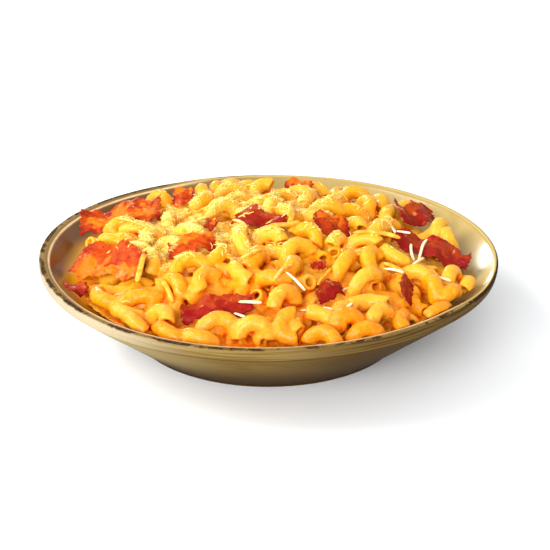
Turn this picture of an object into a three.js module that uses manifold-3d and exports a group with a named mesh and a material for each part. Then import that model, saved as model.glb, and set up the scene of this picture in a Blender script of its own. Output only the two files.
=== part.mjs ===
// A wide stoneware pasta bowl heaped with elbow macaroni in cheese sauce, with
// bacon pieces and grated cheese on top. Millimetres, +Z up, origin at the
// centre of the foot ring's underside, front of the dish towards -Y.

import * as THREE from 'three';
import { mergeVertices } from 'three/addons/utils/BufferGeometryUtils.js';
import Module from 'manifold-3d';

// ---------------------------------------------------------------- driving dimensions

const RIM_RADIUS = 115; // outer edge of the rim
const RIM_HEIGHT = 42.5; // top of the rim above the table
const LIP_RADIUS = 109.7; // inner edge of the flat lip
const LIP_HEIGHT = 41.6;
const FOOT_RADIUS = 69;
const FOOT_RING_WIDTH = 7;
const FOOT_RECESS = 2.2; // depth of the hollow inside the foot ring
const FOOT_BEVEL = 1;
const FLOOR_TOP = 7; // inside floor above the table
const CREASE_RADIUS = 112.8; // groove under the rim band
const CREASE_HEIGHT = 36.3;
const CREASE_DEPTH = 1.5; // how far the rim band stands out over the groove
const RIM_ROUNDING = 1.2;
const WALL_SLOPE = (CREASE_HEIGHT - FOOT_RECESS) / (CREASE_RADIUS - FOOT_RADIUS - FOOT_BEVEL);
const FLOOR_BEND = 14; // how wide the curve is that turns the floor up into the wall
const WALL_SECTORS = 40; // sides of the turned shapes
const INSIDE_STATIONS = [50, 60, 69, 79, 98.5]; // radii at which the inside is drawn
const OUTSIDE_STATIONS = [86, 100]; // and those of the outside

const CONTACT_GAP = 0.35; // between food and dish, and between bacon and food
const HEAP_EDGE_RADIUS = 98;
const HEAP_EDGE_HEIGHT = 36.5;
const HEAP_PEAK_HEIGHT = 51.5; // bare core, without the noodles on it
const HEAP_STATIONS = [85, 69, 45, 0]; // radii at which its dome is drawn
const BROW_REACH = 2.2; // how far the heap's side stands out under its edge
const BROW_DROP = 1.6;
const LEFT_INSET = 8; // how far the heap draws back from the wall at the left
const LEFT_MIDDLE = 8; // where along Y it does so most
const LEFT_REACH = [15, 55]; // distances from there over which that fades out

const NOODLE_RADIUS = 4.2;
const NOODLE_HOLE_RADIUS = 2.4;
const NOODLE_HOLE_DEPTH = 3;
const NOODLE_SIDES = 6;
const NOODLE_SPOTS = 102; // spots of the spiral on which noodles are laid
const NOODLE_SPREAD = 96; // radius of that spiral
const NOODLE_SPACING = 11.8; // least distance between the middles of two noodles
const NOODLE_TRIES = 5; // draws of place and pose for one spot
const WALL_CLEARANCE = 1.2; // from noodles to the wall, over the gap of its flat sectors
const BACON_CLEARANCE = 0.9; // from noodles to bacon

const BACON_THICKNESS = 1.8;
const BACON_WALL_GAP = 0.6; // between bacon and the dish, over the gap of its flat sectors

const SHRED_THICKNESS = 1.3;
const SHRED_SINK = 0.8; // how deep a shred is pressed into what it lies on
const SHRED_CLEARANCE = 3.5; // from shreds to bacon, seen from above
const SHRED_BOW = 0.08; // sideways bow, as a share of the length

const WELD_DISTANCE = 1e-3; // vertices closer than this are one
const SMALLEST_DETAIL = 0.25; // slivers left by joining are smoothed away below this size

const degrees = THREE.MathUtils.degToRad;
const GOLDEN_ANGLE = Math.PI * (3 - Math.sqrt(5));

// Noodles laid by hand where they stand out most.
// [x, y, lift above the core, yaw, pitch, lean, bend radius, length]
const LAID_NOODLES = [
  [-76, -57, 3, 127, 0, 20, 9, 22],
  [-67, -71.5, 2.7, 12, 5, 70, 12.4, 20.5],
  [-65, -70, 2.2, 136, 0, 15, 11, 20],
  [-22, -89.5, 3.8, 8, 0, 70, 8, 22],
  [-7, -99, 2.2, 0, 0, 75, 6.6, 22],
  [9.5, -94.5, 3.1, 95, 45, 0, 5.8, 20.5],
  [25.5, -84, 3.5, -40, -10, 20, 17.7, 19.5],
  [35, -86.5, 4.8, 15, 0, 80, 6.2, 19.5],
  [50, -79.5, 4.6, 48, 5, 85, 6, 18],
  [46, -70.5, 4.4, 0, 2, 12, 17.7, 18.5],
  [63, -70, 4.6, 28, 8, 80, 6.2, 17.5],
  [78, -49.5, 4.4, 100, 10, 90, 6.2, 19.5],
  [88, -36, 4.4, 70, 10, 80, 6.2, 18],
  [-36.5, -42.5, 4, 15, 0, 50, 8, 23],
  [14, -28.5, 4, 40, 5, 60, 8, 23],
  [33.5, -17.5, 3.5, 250, 20, 80, 8.8, 17.5],
  [-3.5, 68, 3.5, 60, 40, 20, 6.2, 21],
  [-20.5, 65.5, 4, 10, 0, 70, 7.1, 21],
  [89.5, 23, 4, 80, 30, 60, 7.1, 19.5],
  [95.5, 11.5, 4, 100, 25, 70, 8, 17.5],
  [-12.5, -19.5, 4, 100, 20, 60, 8, 21],
  [47, 69, 3.5, 0, 10, 70, 7.1, 21],
];

// Bacon pieces: [x, y, heading, length, width, tilt, curl height, phase of the waves, taper]
const BACON = [
  [-78, 37, 3, 43, 20, 24, 2.7, 0.4, -0.25],
  [-75.5, -29, -38, 43, 19, 26, 2.7, 1.3, 0.35],
  [-46, 58.5, 0, 11.5, 13.5, 32, 1.3, 2, 0],
  [-4.5, 7, -24, 30, 13.5, 15, 2.7, 3.1, 0],
  [-37, -22, 10, 24, 11.5, 20, 2.2, 0.9, 0],
  [17, 72.5, 0, 16, 13.5, 40, 1.3, 1.7, 0],
  [32, 1, 12, 18.5, 13.5, 30, 1.8, 2.6, 0],
  [79, 40, 30, 26.5, 16, 30, 3.5, 0.2, 0],
  [82, -8, -24, 39, 17.5, 15, 2.7, 1.1, 0],
  [65.5, -55, 88, 21, 8, 40, 1.8, 2.2, 0],
  [28.5, -64.5, 35, 16, 8, 30, 1.8, 0.7, 0],
  [-23, -77, 8, 33.5, 10.5, 22, 2.2, 1.9, 0],
  [24, -40.5, -70, 8, 6, 20, 1.3, 0.3, 0],
  [-29, 7, -50, 10.5, 8, 30, 1.3, 2.9, 0],
  [-91.5, -43, -45, 12, 10, 10, 1, 1.2, 0],
];

// Shreds of grated cheese: [x, y, heading, length, width]
const SHREDS = [
  [-68, 5.5, -41, 23, 2.3],
  [-59.5, -50.5, -96, 21, 2.3],
  [-47, -60, -69, 19.5, 2.3],
  [-47, -36.5, 66, 13.5, 2.1],
  [-32.5, 7, 40, 17.5, 2.1],
  [-32.5, 32.5, 31, 16, 2.1],
  [-14, -7, -70, 19.5, 2.1],
  [12.5, 12.5, -100, 23, 2.3],
  [53, -19.5, -6, 23, 2.5],
  [8, -10.5, -153, 17.5, 2.1],
  [7, -60, -116, 21, 2.1],
  [26.5, -50.5, -117, 15, 2.1],
  [-8, -43.5, -138, 14, 2.1],
  [-42.5, 25.5, -125, 17.5, 2.1],
  [59.5, -40.5, -43, 11.5, 1.9],
  [12.5, -67, -58, 16, 1.8],
  [36.5, -48, 47, 9, 1.8],
  [79.5, -33.5, -85, 17.5, 2.1],
];

// ---------------------------------------------------------------- materials

const material = (name, color, roughness) =>
  new THREE.MeshStandardMaterial({ name, color, roughness, metalness: 0 });

const glazedStoneware = material('glazed_stoneware', 0xb9a97f, 0.3);
const cheesyPasta = material('cheesy_pasta', 0xf6b22c, 0.4);
const friedBacon = material('fried_bacon', 0xa83222, 0.45);

// ---------------------------------------------------------------- helpers

const wasm = await Module();
wasm.setup();

// Repeatable draw between 0 and 1 for item i and question k.
function chance(i, k) {
  const s = Math.sin(i * 12.9898 + k * 78.233) * 43758.5453;
  return s - Math.floor(s);
}

// Position-only copy with shared vertices.
function welded(geometry) {
  const bare = geometry.clone();
  for (const name of ['normal', 'uv']) {
    bare.deleteAttribute(name);
  }
  return mergeVertices(bare, WELD_DISTANCE);
}

function toSolid(geometry) {
  const bare = welded(geometry);
  const vertProperties = Float32Array.from(bare.attributes.position.array);
  const corners = bare.index.array;
  const kept = [];
  for (let i = 0; i < corners.length; i += 3) {
    const [a, b, c] = corners.slice(i, i + 3);
    if (a !== b && b !== c && c !== a) {
      kept.push(a, b, c);
    }
  }
  const triVerts = Uint32Array.from(kept);
  return new wasm.Manifold(new wasm.Mesh({ numProp: 3, vertProperties, triVerts }));
}

function toGeometry(solid) {
  const mesh = solid.getMesh();
  const geometry = new THREE.BufferGeometry();
  geometry.setAttribute('position', new THREE.BufferAttribute(mesh.vertProperties, 3));
  geometry.setIndex(new THREE.BufferAttribute(mesh.triVerts, 1));
  geometry.computeVertexNormals();
  return geometry;
}

// The body without the hollows that joining has sealed, loose scraps and slivers.
function cleaned(solid) {
  const shells = toSolid(toGeometry(solid.simplify(SMALLEST_DETAIL))).decompose();
  return shells.reduce((largest, shell) => (shell.volume() > largest.volume() ? shell : largest));
}

// Moves every vertex of a geometry by a function of its position.
function reshape(geometry, move) {
  const position = geometry.attributes.position;
  const point = new THREE.Vector3();
  for (let i = 0; i < position.count; i += 1) {
    point.fromBufferAttribute(position, i);
    move(point, i);
    position.setXYZ(i, point.x, point.y, point.z);
  }
  return geometry;
}

// Turned shape about +Z from a profile of [radius, height] that starts and ends on the axis.
function turned(profile) {
  const points = profile.map(([radius, height]) => new THREE.Vector2(radius, height));
  return new THREE.LatheGeometry(points, WALL_SECTORS).rotateX(Math.PI / 2);
}

// The rim isn't quite round: a few slow waves, fading out towards the foot.
function handThrownScale(x, y) {
  const angle = Math.atan2(y, x);
  const waves = 0.5 * Math.sin(2 * angle + 0.6) + 0.8 * Math.sin(3 * angle) - 0.6 * Math.sin(4 * angle);
  return 1 + (waves / RIM_RADIUS) * THREE.MathUtils.smoothstep(Math.hypot(x, y), FOOT_RADIUS, RIM_RADIUS);
}

function handThrown(point) {
  const scale = handThrownScale(point.x, point.y);
  point.x *= scale;
  point.y *= scale;
}

// ---------------------------------------------------------------- dish

// How far out from the start of its slope the inside of the bowl is at a height above the floor.
const slopeReach = (rise) => rise / WALL_SLOPE - (FLOOR_BEND ** 2 * WALL_SLOPE) / (4 * rise);

const SLOPE_START = LIP_RADIUS - slopeReach(LIP_HEIGHT - FLOOR_TOP);

// Radius of the inside of the bowl at a height: a hyperbola from the flat floor to the straight wall.
const insideRadius = (height) => SLOPE_START + slopeReach(height - FLOOR_TOP);

// Height of the inside of the bowl at a radius, the same curve.
const insideHeight = (radius) => {
  const reach = radius - SLOPE_START;
  return FLOOR_TOP + (WALL_SLOPE * (reach + Math.hypot(reach, FLOOR_BEND))) / 2;
};

// Height of the outside of the bowl at a radius, between foot and crease.
const outsideHeight = (radius) => FOOT_RECESS + WALL_SLOPE * (radius - FOOT_RADIUS - FOOT_BEVEL);

// Points of the inside of the bowl, from the middle outwards.
function insideProfile() {
  return [[0, FLOOR_TOP], ...INSIDE_STATIONS.map((radius) => [radius, insideHeight(radius)])];
}

function dishGeometry() {
  const foot = [
    [0, FOOT_RECESS],
    [FOOT_RADIUS - FOOT_RING_WIDTH - FOOT_BEVEL, FOOT_RECESS],
    [FOOT_RADIUS - FOOT_RING_WIDTH, 0],
    [FOOT_RADIUS - FOOT_BEVEL, 0],
    [FOOT_RADIUS, FOOT_BEVEL],
    [FOOT_RADIUS + FOOT_BEVEL, outsideHeight(FOOT_RADIUS + FOOT_BEVEL)],
  ];
  const outside = OUTSIDE_STATIONS.map((radius) => [radius, outsideHeight(radius)]);
  const rim = [
    [CREASE_RADIUS - RIM_ROUNDING / 2, CREASE_HEIGHT],
    [CREASE_RADIUS + CREASE_DEPTH, CREASE_HEIGHT + RIM_ROUNDING],
    [RIM_RADIUS, RIM_HEIGHT - RIM_ROUNDING],
    [RIM_RADIUS - RIM_ROUNDING, RIM_HEIGHT],
    [LIP_RADIUS + RIM_ROUNDING, RIM_HEIGHT],
    [LIP_RADIUS, LIP_HEIGHT],
  ];
  const profile = [...foot, ...outside, ...rim, ...insideProfile().reverse()];
  return reshape(turned(profile), handThrown);
}

// ---------------------------------------------------------------- core of the heap

// Top of the bare heap: a shallow dome with slow lumps.
function groundHeight(x, y) {
  const share = Math.min((x * x + y * y) / HEAP_EDGE_RADIUS ** 2, 1.15);
  const lumps =
    1.1 * Math.sin(0.069 * x + 1.1) * Math.sin(0.077 * y + 0.4) +
    0.8 * Math.sin(0.148 * x - 0.7) * Math.sin(0.132 * y + 2);
  const fade = THREE.MathUtils.clamp((1 - share) * 3, 0, 1);
  return HEAP_EDGE_HEIGHT + (HEAP_PEAK_HEIGHT - HEAP_EDGE_HEIGHT) * (1 - share) + lumps * fade;
}

// How far a place moves towards the middle because the heap draws back from the wall there.
function drawnBack(x, y) {
  const { smoothstep } = THREE.MathUtils;
  const fade = smoothstep(Math.abs(y - LEFT_MIDDLE), ...LEFT_REACH);
  return LEFT_INSET * smoothstep(-x, HEAP_EDGE_RADIUS / 2, HEAP_EDGE_RADIUS) * (1 - fade);
}

function coreGeometry() {
  const raised = insideProfile().map(([radius, height]) => [
    Math.max(radius - CONTACT_GAP, 0),
    height + CONTACT_GAP,
  ]);
  const brow = [HEAP_EDGE_RADIUS + BROW_REACH, HEAP_EDGE_HEIGHT - BROW_DROP];
  const dome = [HEAP_EDGE_RADIUS, ...HEAP_STATIONS].map((radius) => [radius, HEAP_PEAK_HEIGHT]);
  const core = reshape(turned([...raised, brow, ...dome]), handThrown);
  return reshape(core, (point) => {
    const isDome = point.z === HEAP_PEAK_HEIGHT;
    if (isDome) {
      point.z = groundHeight(point.x, point.y);
    }
    if (isDome || point.z === Math.fround(HEAP_EDGE_HEIGHT - BROW_DROP)) {
      point.x += drawnBack(point.x, point.y);
    }
  });
}

// ---------------------------------------------------------------- bacon

// What bacon lies on: the bare heap, or past its edge the wall of the dish.
function bedHeight(x, y) {
  const wall = insideHeight(Math.hypot(x, y) / handThrownScale(x, y));
  return Math.max(groundHeight(x, y), wall + BACON_WALL_GAP);
}

// Middle surface of a piece: u along and v across, both from -1 to 1.
// The outline is ragged and tapers, the piece is tilted up to one side and waves along its length.
function baconPoint([x, y, heading, length, width, tilt, curl, phase, taper], u, v) {
  const h = degrees(heading);
  const t = degrees(tilt);
  const uneven = 0.07 * Math.sin(5.1 * u + phase) + 0.04 * Math.sin(11.3 * u + phase);
  const ragged = (1 - 0.4 * u ** 4 + uneven) * (1 - taper * u);
  const along = (u * length) / 2;
  const across = ((v * width) / 2) * ragged * Math.cos(t) + 0.06 * length * Math.sin(2.1 * u + phase);
  const px = x + along * Math.cos(h) - across * Math.sin(h);
  const py = y + along * Math.sin(h) + across * Math.cos(h);
  const waves = Math.max(2, Math.round(length / 10));
  const rise = (width * Math.sin(t) * (v + 1)) / 2;
  const wave = (curl * (1 + Math.sin((waves * Math.PI * u) / 2 + phase))) / 2;
  return new THREE.Vector3(px, py, bedHeight(px, py) + CONTACT_GAP + BACON_THICKNESS / 2 + rise + wave);
}

// Points spread over every piece, by which the noodles keep clear of the bacon.
const BACON_SAMPLES = BACON.flatMap((piece) =>
  [-1, -0.75, -0.5, -0.25, 0, 0.25, 0.5, 0.75, 1].flatMap((u) =>
    [-1, -0.5, 0, 0.5, 1].map((v) => baconPoint(piece, u, v)),
  ),
);

// A thin slab whose top and bottom follow the middle surface.
function baconGeometry(piece) {
  const [, , , length, width] = piece;
  const stepsAlong = Math.max(3, Math.round(length / 5.5));
  const stepsAcross = Math.max(2, Math.round(width / 7));
  const slab = new THREE.BoxGeometry(2, 2, BACON_THICKNESS, stepsAlong, stepsAcross, 1);
  return reshape(slab, (point) => {
    const middle = baconPoint(piece, point.x, point.y);
    point.set(middle.x, middle.y, middle.z + point.z);
  });
}

// ---------------------------------------------------------------- noodles

// Where a point of a straight noodle lands when the noodle is bent and laid.
// The local frame has the chord along X, the bulge along Y.
function bendAndLay([x, y, lift, yaw, pitch, lean, bend, length]) {
  const half = length / bend / 2;
  const middle = (bend * (1 + Math.cos(half))) / 2;
  const turn = new THREE.Matrix4().makeRotationZ(degrees(yaw));
  turn.multiply(new THREE.Matrix4().makeRotationY(-degrees(pitch)));
  turn.multiply(new THREE.Matrix4().makeRotationX(degrees(lean)));
  turn.setPosition(x, y, groundHeight(x, y) + lift);
  return (point) => {
    const angle = point.y / bend;
    const reach = bend + point.x;
    point.set(reach * Math.sin(angle), reach * Math.cos(angle) - middle, -point.z);
    point.applyMatrix4(turn);
  };
}

// Points on the centre line of a laid noodle.
function centreLine(laying) {
  const place = bendAndLay(laying);
  const length = laying[7];
  return [-0.5, -0.25, 0, 0.25, 0.5].map((share) => {
    const point = new THREE.Vector3(0, share * length, 0);
    place(point);
    return point;
  });
}

// How far a noodle has to move towards the middle to clear the sloping wall.
function wallExcess(laying) {
  const across = (NOODLE_RADIUS + WALL_CLEARANCE) / Math.sin(Math.atan(WALL_SLOPE));
  return centreLine(laying).reduce((most, { x, y, z }) => {
    const room = insideRadius(z) * handThrownScale(x, y) - across;
    return Math.max(most, Math.hypot(x, y) - room);
  }, 0);
}

function movedInside(laying) {
  const [x, y] = laying;
  const distance = Math.hypot(x, y);
  const scale = (distance - wallExcess(laying)) / distance;
  return [x * scale, y * scale, ...laying.slice(2)];
}

// Whether a noodle comes nearer to a bacon piece than its clearance.
function crossesBacon(laying) {
  const reach = NOODLE_RADIUS + BACON_THICKNESS / 2 + BACON_CLEARANCE;
  return centreLine(laying).some((point) => BACON_SAMPLES.some((other) => point.distanceTo(other) < reach));
}

// One draw of place, pose and size for a spot of a sunflower spiral over the dome.
function drawNoodle(spot, attempt) {
  const draw = (question) => chance(spot, 10 * attempt + question);
  const radius = NOODLE_SPREAD * Math.sqrt((spot + 0.2 + 0.6 * draw(0)) / NOODLE_SPOTS);
  const angle = spot * GOLDEN_ANGLE + 0.2 * (attempt + 1) * (draw(1) - 0.5);
  const [x, y] = [radius * Math.cos(angle), radius * Math.sin(angle)];
  const place = [x + drawnBack(x, y), y, 2.2 + 1.8 * draw(2)];
  const pose = [360 * draw(3), 50 * (draw(4) - 0.5), 20 + 130 * draw(5)];
  return movedInside([...place, ...pose, 6.2 + 3.5 * draw(6), 18 + 4 * draw(7)]);
}

// The noodles laid by hand, then those of the spiral that keep clear of them and of each other.
function laidNoodles() {
  const laid = LAID_NOODLES.map(movedInside).filter((laying) => !crossesBacon(laying));
  const crowded = ([x, y]) => laid.some(([a, b]) => Math.hypot(x - a, y - b) < NOODLE_SPACING);
  for (let spot = 0; spot < NOODLE_SPOTS; spot += 1) {
    for (let attempt = 0; attempt < NOODLE_TRIES; attempt += 1) {
      const laying = drawNoodle(spot, attempt);
      if (!crowded(laying) && !crossesBacon(laying)) {
        laid.push(laying);
        break;
      }
    }
  }
  return laid;
}

// Straight noodle along Y with a tapered hollow in each end, ready to be bent.
function straightNoodle(length) {
  const half = length / 2;
  const end = [
    [0, half - NOODLE_HOLE_DEPTH],
    [NOODLE_HOLE_RADIUS, half],
    [NOODLE_RADIUS, half],
    [NOODLE_RADIUS, half * 0.5],
  ];
  const start = end.map(([radius, height]) => [radius, -height]);
  const profile = [...start, [NOODLE_RADIUS, 0], ...end.reverse()];
  const points = profile.map(([radius, height]) => new THREE.Vector2(radius, height));
  return new THREE.LatheGeometry(points, NOODLE_SIDES);
}

function noodleGeometry(laying) {
  return reshape(straightNoodle(laying[7]), bendAndLay(laying));
}

// ---------------------------------------------------------------- grated cheese on the heap

// Highest point of core and noodles at a place.
function surfaceHeight(x, y, noodles) {
  return noodles.flatMap(centreLine).reduce((top, point) => {
    const offset = Math.hypot(point.x - x, point.y - y);
    const rise = offset < NOODLE_RADIUS ? Math.sqrt(NOODLE_RADIUS ** 2 - offset ** 2) : -Infinity;
    return Math.max(top, point.z + rise);
  }, groundHeight(x, y));
}

// A strip whose underside lies a little inside what it crosses.
function shredGeometry([x, y, heading, length, width], noodles) {
  const angle = degrees(heading);
  const strip = new THREE.BoxGeometry(length, width, SHRED_THICKNESS, 2, 1, 1);
  return reshape(strip, (point) => {
    const bowed = point.y + SHRED_BOW * length * Math.cos((Math.PI * point.x) / length);
    const level = surfaceHeight(x + point.x * Math.cos(angle), y + point.x * Math.sin(angle), noodles);
    point.z += level + SHRED_THICKNESS / 2 - SHRED_SINK;
    const along = point.x;
    point.x = x + along * Math.cos(angle) - bowed * Math.sin(angle);
    point.y = y + along * Math.sin(angle) + bowed * Math.cos(angle);
  });
}

// Whether a shred would lie on or under a bacon piece.
function shredCrossesBacon([x, y, heading, length]) {
  const angle = degrees(heading);
  return [-0.5, 0, 0.5].some((share) => {
    const px = x + share * length * Math.cos(angle);
    const py = y + share * length * Math.sin(angle);
    return BACON_SAMPLES.some((other) => Math.hypot(other.x - px, other.y - py) < SHRED_CLEARANCE);
  });
}

// Core, noodles and shreds as one solid.
function heapGeometry() {
  const noodles = laidNoodles();
  const shreds = SHREDS.filter((shred) => !shredCrossesBacon(shred));
  const pieces = [
    ...noodles.map(noodleGeometry),
    ...shreds.map((shred) => shredGeometry(shred, noodles)),
  ];
  const heap = pieces.reduce((whole, piece) => whole.add(toSolid(piece)), toSolid(coreGeometry()));
  return toGeometry(cleaned(heap));
}

// ---------------------------------------------------------------- the filled bowl

const filledBowl = new THREE.Group();

function addPiece(name, geometry, finish) {
  const mesh = new THREE.Mesh(geometry, finish);
  mesh.name = name;
  filledBowl.add(mesh);
}

addPiece('dish', dishGeometry(), glazedStoneware);
addPiece('macaroni', heapGeometry(), cheesyPasta);
BACON.forEach((piece, i) => {
  addPiece(`bacon_${String(i + 1).padStart(2, '0')}`, baconGeometry(piece), friedBacon);
});

export default filledBowl;
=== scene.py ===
"""A wide stoneware pasta bowl heaped with elbow macaroni in cheese sauce.

The bowl is one turned shape. The macaroni is the skin of a distance field: bent
tubes melted into each other by the sauce. Bacon pieces are thin waved slabs, and
the grated cheese is shreds and crumbs that lie on what is under them.

Lengths are in millimetres until a mesh is made, and in metres in the materials.
+Z is up, the front is -Y.
"""

import math
from collections import namedtuple
from functools import lru_cache

import bpy
import numpy as np
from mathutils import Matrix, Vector


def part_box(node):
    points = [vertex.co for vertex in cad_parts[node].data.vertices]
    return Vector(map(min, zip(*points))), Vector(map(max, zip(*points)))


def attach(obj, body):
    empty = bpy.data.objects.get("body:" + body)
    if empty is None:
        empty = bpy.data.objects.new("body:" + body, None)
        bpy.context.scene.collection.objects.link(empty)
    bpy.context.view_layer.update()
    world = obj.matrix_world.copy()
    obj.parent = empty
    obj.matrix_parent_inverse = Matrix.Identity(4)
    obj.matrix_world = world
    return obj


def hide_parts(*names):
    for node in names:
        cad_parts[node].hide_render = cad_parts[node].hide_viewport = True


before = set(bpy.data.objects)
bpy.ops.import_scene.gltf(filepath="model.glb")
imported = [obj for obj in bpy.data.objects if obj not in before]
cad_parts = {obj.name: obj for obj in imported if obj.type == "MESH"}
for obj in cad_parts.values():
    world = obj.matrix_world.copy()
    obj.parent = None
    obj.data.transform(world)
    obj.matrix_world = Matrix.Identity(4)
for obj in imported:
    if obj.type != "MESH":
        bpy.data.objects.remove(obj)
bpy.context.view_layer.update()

bl_info = {
    "name": "Bowl of macaroni and cheese",
    "version": (1, 0, 0),
    "blender": (4, 5, 0),
    "location": "3D View > Sidebar > Pasta bowl",
    "description": "Stoneware bowl of elbow macaroni in cheese sauce with bacon and grated cheese",
    "category": "Add Mesh",
}

MM = 0.001  # metres in a millimetre

# ---------------------------------------------------------------- sizes of the solids

RIM_RADIUS = 115.0
RIM_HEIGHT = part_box("dish")[1][2] / MM
LIP_RADIUS = 109.7  # inner edge of the flat lip
LIP_HEIGHT = 41.6  # where the inside of the bowl starts down from that edge
LIP_NARROWED = 3.4  # how far the inner edge moves out where the lip is narrow
LIP_NARROW_MIDDLE = math.radians(40)  # direction in which the lip is narrowest
# in this direction the painted highlight line along the lip's inner edge is also left out
WHOLE_GLAZE_MIDDLE = math.radians(55)  # direction in which the lip's edges are least worn
FOOT_RADIUS = 69.0
FOOT_RING_WIDTH = 7.0
FOOT_RECESS = 2.2  # height of the underside within the foot ring
FLOOR_TOP = 7.0
FLOOR_BEND = 14.0  # how gently the floor turns into the wall
CREASE_RADIUS = 112.8  # the crease between the outer wall and the band of the rim
CREASE_HEIGHT = 36.3
WALL_SLOPE = (CREASE_HEIGHT - FOOT_RECESS) / (CREASE_RADIUS - FOOT_RADIUS - 1)
WALL_SINE = math.sin(math.atan(WALL_SLOPE))  # distance square to the wall over level distance
WALL_HOLLOW = 1.2  # how far the inner wall is hollowed under the lip
INSIDE_MARGIN = 2.5  # more than that hollow, so that all of the inner wall counts as inside

CONTACT_GAP = 0.35  # between things that rest on each other
HEAP_EDGE_RADIUS = 98.0
HEAP_EDGE_HEIGHT = 36.5
HEAP_PEAK_HEIGHT = 51.5
LEFT_INSET = 8.0  # how far the heap draws back from the wall at the left
LEFT_MIDDLE = 8.0  # how far behind the middle it does so most
LEFT_REACH = (15.0, 55.0)  # distances from there between which that fades out

NOODLE_RADIUS = 4.2
NOODLE_SPOTS = 102  # of the spiral of top noodles
NOODLE_SPREAD = 96.0  # how far out that spiral goes
NOODLE_SPACING = 11.8
NOODLE_TRIES = 5
WALL_CLEARANCE = 1.2
BACON_CLEARANCE = 0.9
BACON_THICKNESS = 1.8
BACON_WALL_GAP = 0.6
GOLDEN_ANGLE = math.pi * (3 - math.sqrt(5))

# A noodle has its middle, its height over the bare heap, turns in degrees, radius of bend and length.
# A bacon piece has its middle, turns in degrees, length, width and the height of its waves; phase
# shifts the waves and taper narrows one end.
Noodle = namedtuple("Noodle", "x y lift yaw pitch lean bend length")
Bacon = namedtuple("Bacon", "x y heading length width tilt curl phase taper")
Shred = namedtuple("Shred", "x y heading length")

LAID_NOODLES = [
    Noodle(-76, -57, 3, 127, 0, 20, 9, 22),
    Noodle(-67, -71.5, 2.7, 12, 5, 70, 12.4, 20.5),
    Noodle(-65, -70, 2.2, 136, 0, 15, 11, 20),
    Noodle(-22, -89.5, 3.8, 8, 0, 70, 8, 22),
    Noodle(-7, -99, 2.2, 0, 0, 75, 6.6, 22),
    Noodle(9.5, -94.5, 3.1, 95, 45, 0, 5.8, 20.5),
    Noodle(25.5, -84, 3.5, -40, -10, 20, 17.7, 19.5),
    Noodle(35, -86.5, 4.8, 15, 0, 80, 6.2, 19.5),
    Noodle(50, -79.5, 4.6, 48, 5, 85, 6, 18),
    Noodle(46, -70.5, 4.4, 0, 2, 12, 17.7, 18.5),
    Noodle(63, -70, 4.6, 28, 8, 80, 6.2, 17.5),
    Noodle(78, -49.5, 4.4, 100, 10, 90, 6.2, 19.5),
    Noodle(88, -36, 4.4, 70, 10, 80, 6.2, 18),
    Noodle(-36.5, -42.5, 4, 15, 0, 50, 8, 23),
    Noodle(14, -28.5, 4, 40, 5, 60, 8, 23),
    Noodle(33.5, -17.5, 3.5, 250, 20, 80, 8.8, 17.5),
    Noodle(-3.5, 68, 3.5, 60, 40, 20, 6.2, 21),
    Noodle(-20.5, 65.5, 4, 10, 0, 70, 7.1, 21),
    Noodle(89.5, 23, 4, 80, 30, 60, 7.1, 19.5),
    Noodle(95.5, 11.5, 4, 100, 25, 70, 8, 17.5),
    Noodle(-12.5, -19.5, 4, 100, 20, 60, 8, 21),
    Noodle(47, 69, 3.5, 0, 10, 70, 7.1, 21),
]

# Noodles pressed into the gap between the laid ones and the wall, which cuts them.
EDGE_NOODLES = [
    Noodle(95, -38.5, 4.4, -95, 10, 50, 7.5, 14),
    Noodle(85.5, -52, 4.9, -130, 0, 65, 7.5, 14),
    Noodle(79, -67, 3.6, -140, 5, 70, 7, 15),
    Noodle(61.5, -80.5, 3.4, 95, 12, 25, 8, 17),
    Noodle(43.5, -91.5, 3.4, 12, 0, 85, 6.5, 18),
    Noodle(24, -96, 3.0, -25, 8, 65, 7, 18),
    Noodle(-31, -96.5, 3.2, 165, 5, 55, 8, 18),
    Noodle(-45, -90.5, 4.0, 125, -5, 40, 9, 19),
    Noodle(-60, -81, 3.6, 118, -5, 60, 8, 19),
]

BACON = [
    Bacon(-78, 37, 3, 43, 20, 24, 2.7, 0.4, -0.25),
    Bacon(-75.5, -29, -38, 43, 19, 26, 2.7, 1.3, 0.35),
    Bacon(-46, 58.5, 0, 11.5, 13.5, 32, 1.3, 2, 0),
    Bacon(-4.5, 7, -24, 30, 13.5, 15, 2.7, 3.1, 0),
    Bacon(-37, -22, 10, 24, 11.5, 20, 2.2, 0.9, 0),
    Bacon(17, 72.5, 0, 16, 13.5, 40, 1.3, 1.7, 0),
    Bacon(32, 1, 12, 18.5, 13.5, 30, 1.8, 2.6, 0),
    Bacon(79, 40, 30, 26.5, 16, 30, 3.5, 0.2, 0),
    Bacon(82, -8, -24, 39, 17.5, 15, 2.7, 1.1, 0),
    Bacon(65.5, -55, 88, 21, 8, 40, 1.8, 2.2, 0),
    Bacon(28.5, -64.5, 35, 16, 8, 30, 1.8, 0.7, 0),
    Bacon(-23, -77, 8, 33.5, 10.5, 22, 2.2, 1.9, 0),
    Bacon(24, -40.5, -70, 8, 6, 20, 1.3, 0.3, 0),
    Bacon(-29, 7, -50, 10.5, 8, 30, 1.3, 2.9, 0),
    Bacon(-91.5, -43, -45, 12, 10, 10, 1, 1.2, 0),
]

# Rate and shift of the waves of fat across a piece, for the pieces that differ from the usual.
FAT_WAVE = {1: (3.0, 1.6), 2: (-2.6, 0.0)}
USUAL_FAT_WAVE = (2.6, 0.0)

# How far each piece is fried, from pale orange at 0 to dark red at 1.
BACON_FRYING = [0.15, 0.15, 0.2, 0.9, 0.05, 0.3, 0.5, 0.8, 0.9, 0.85, 0.95, 0.9, 0.8, 0.4, 0.85]

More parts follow.
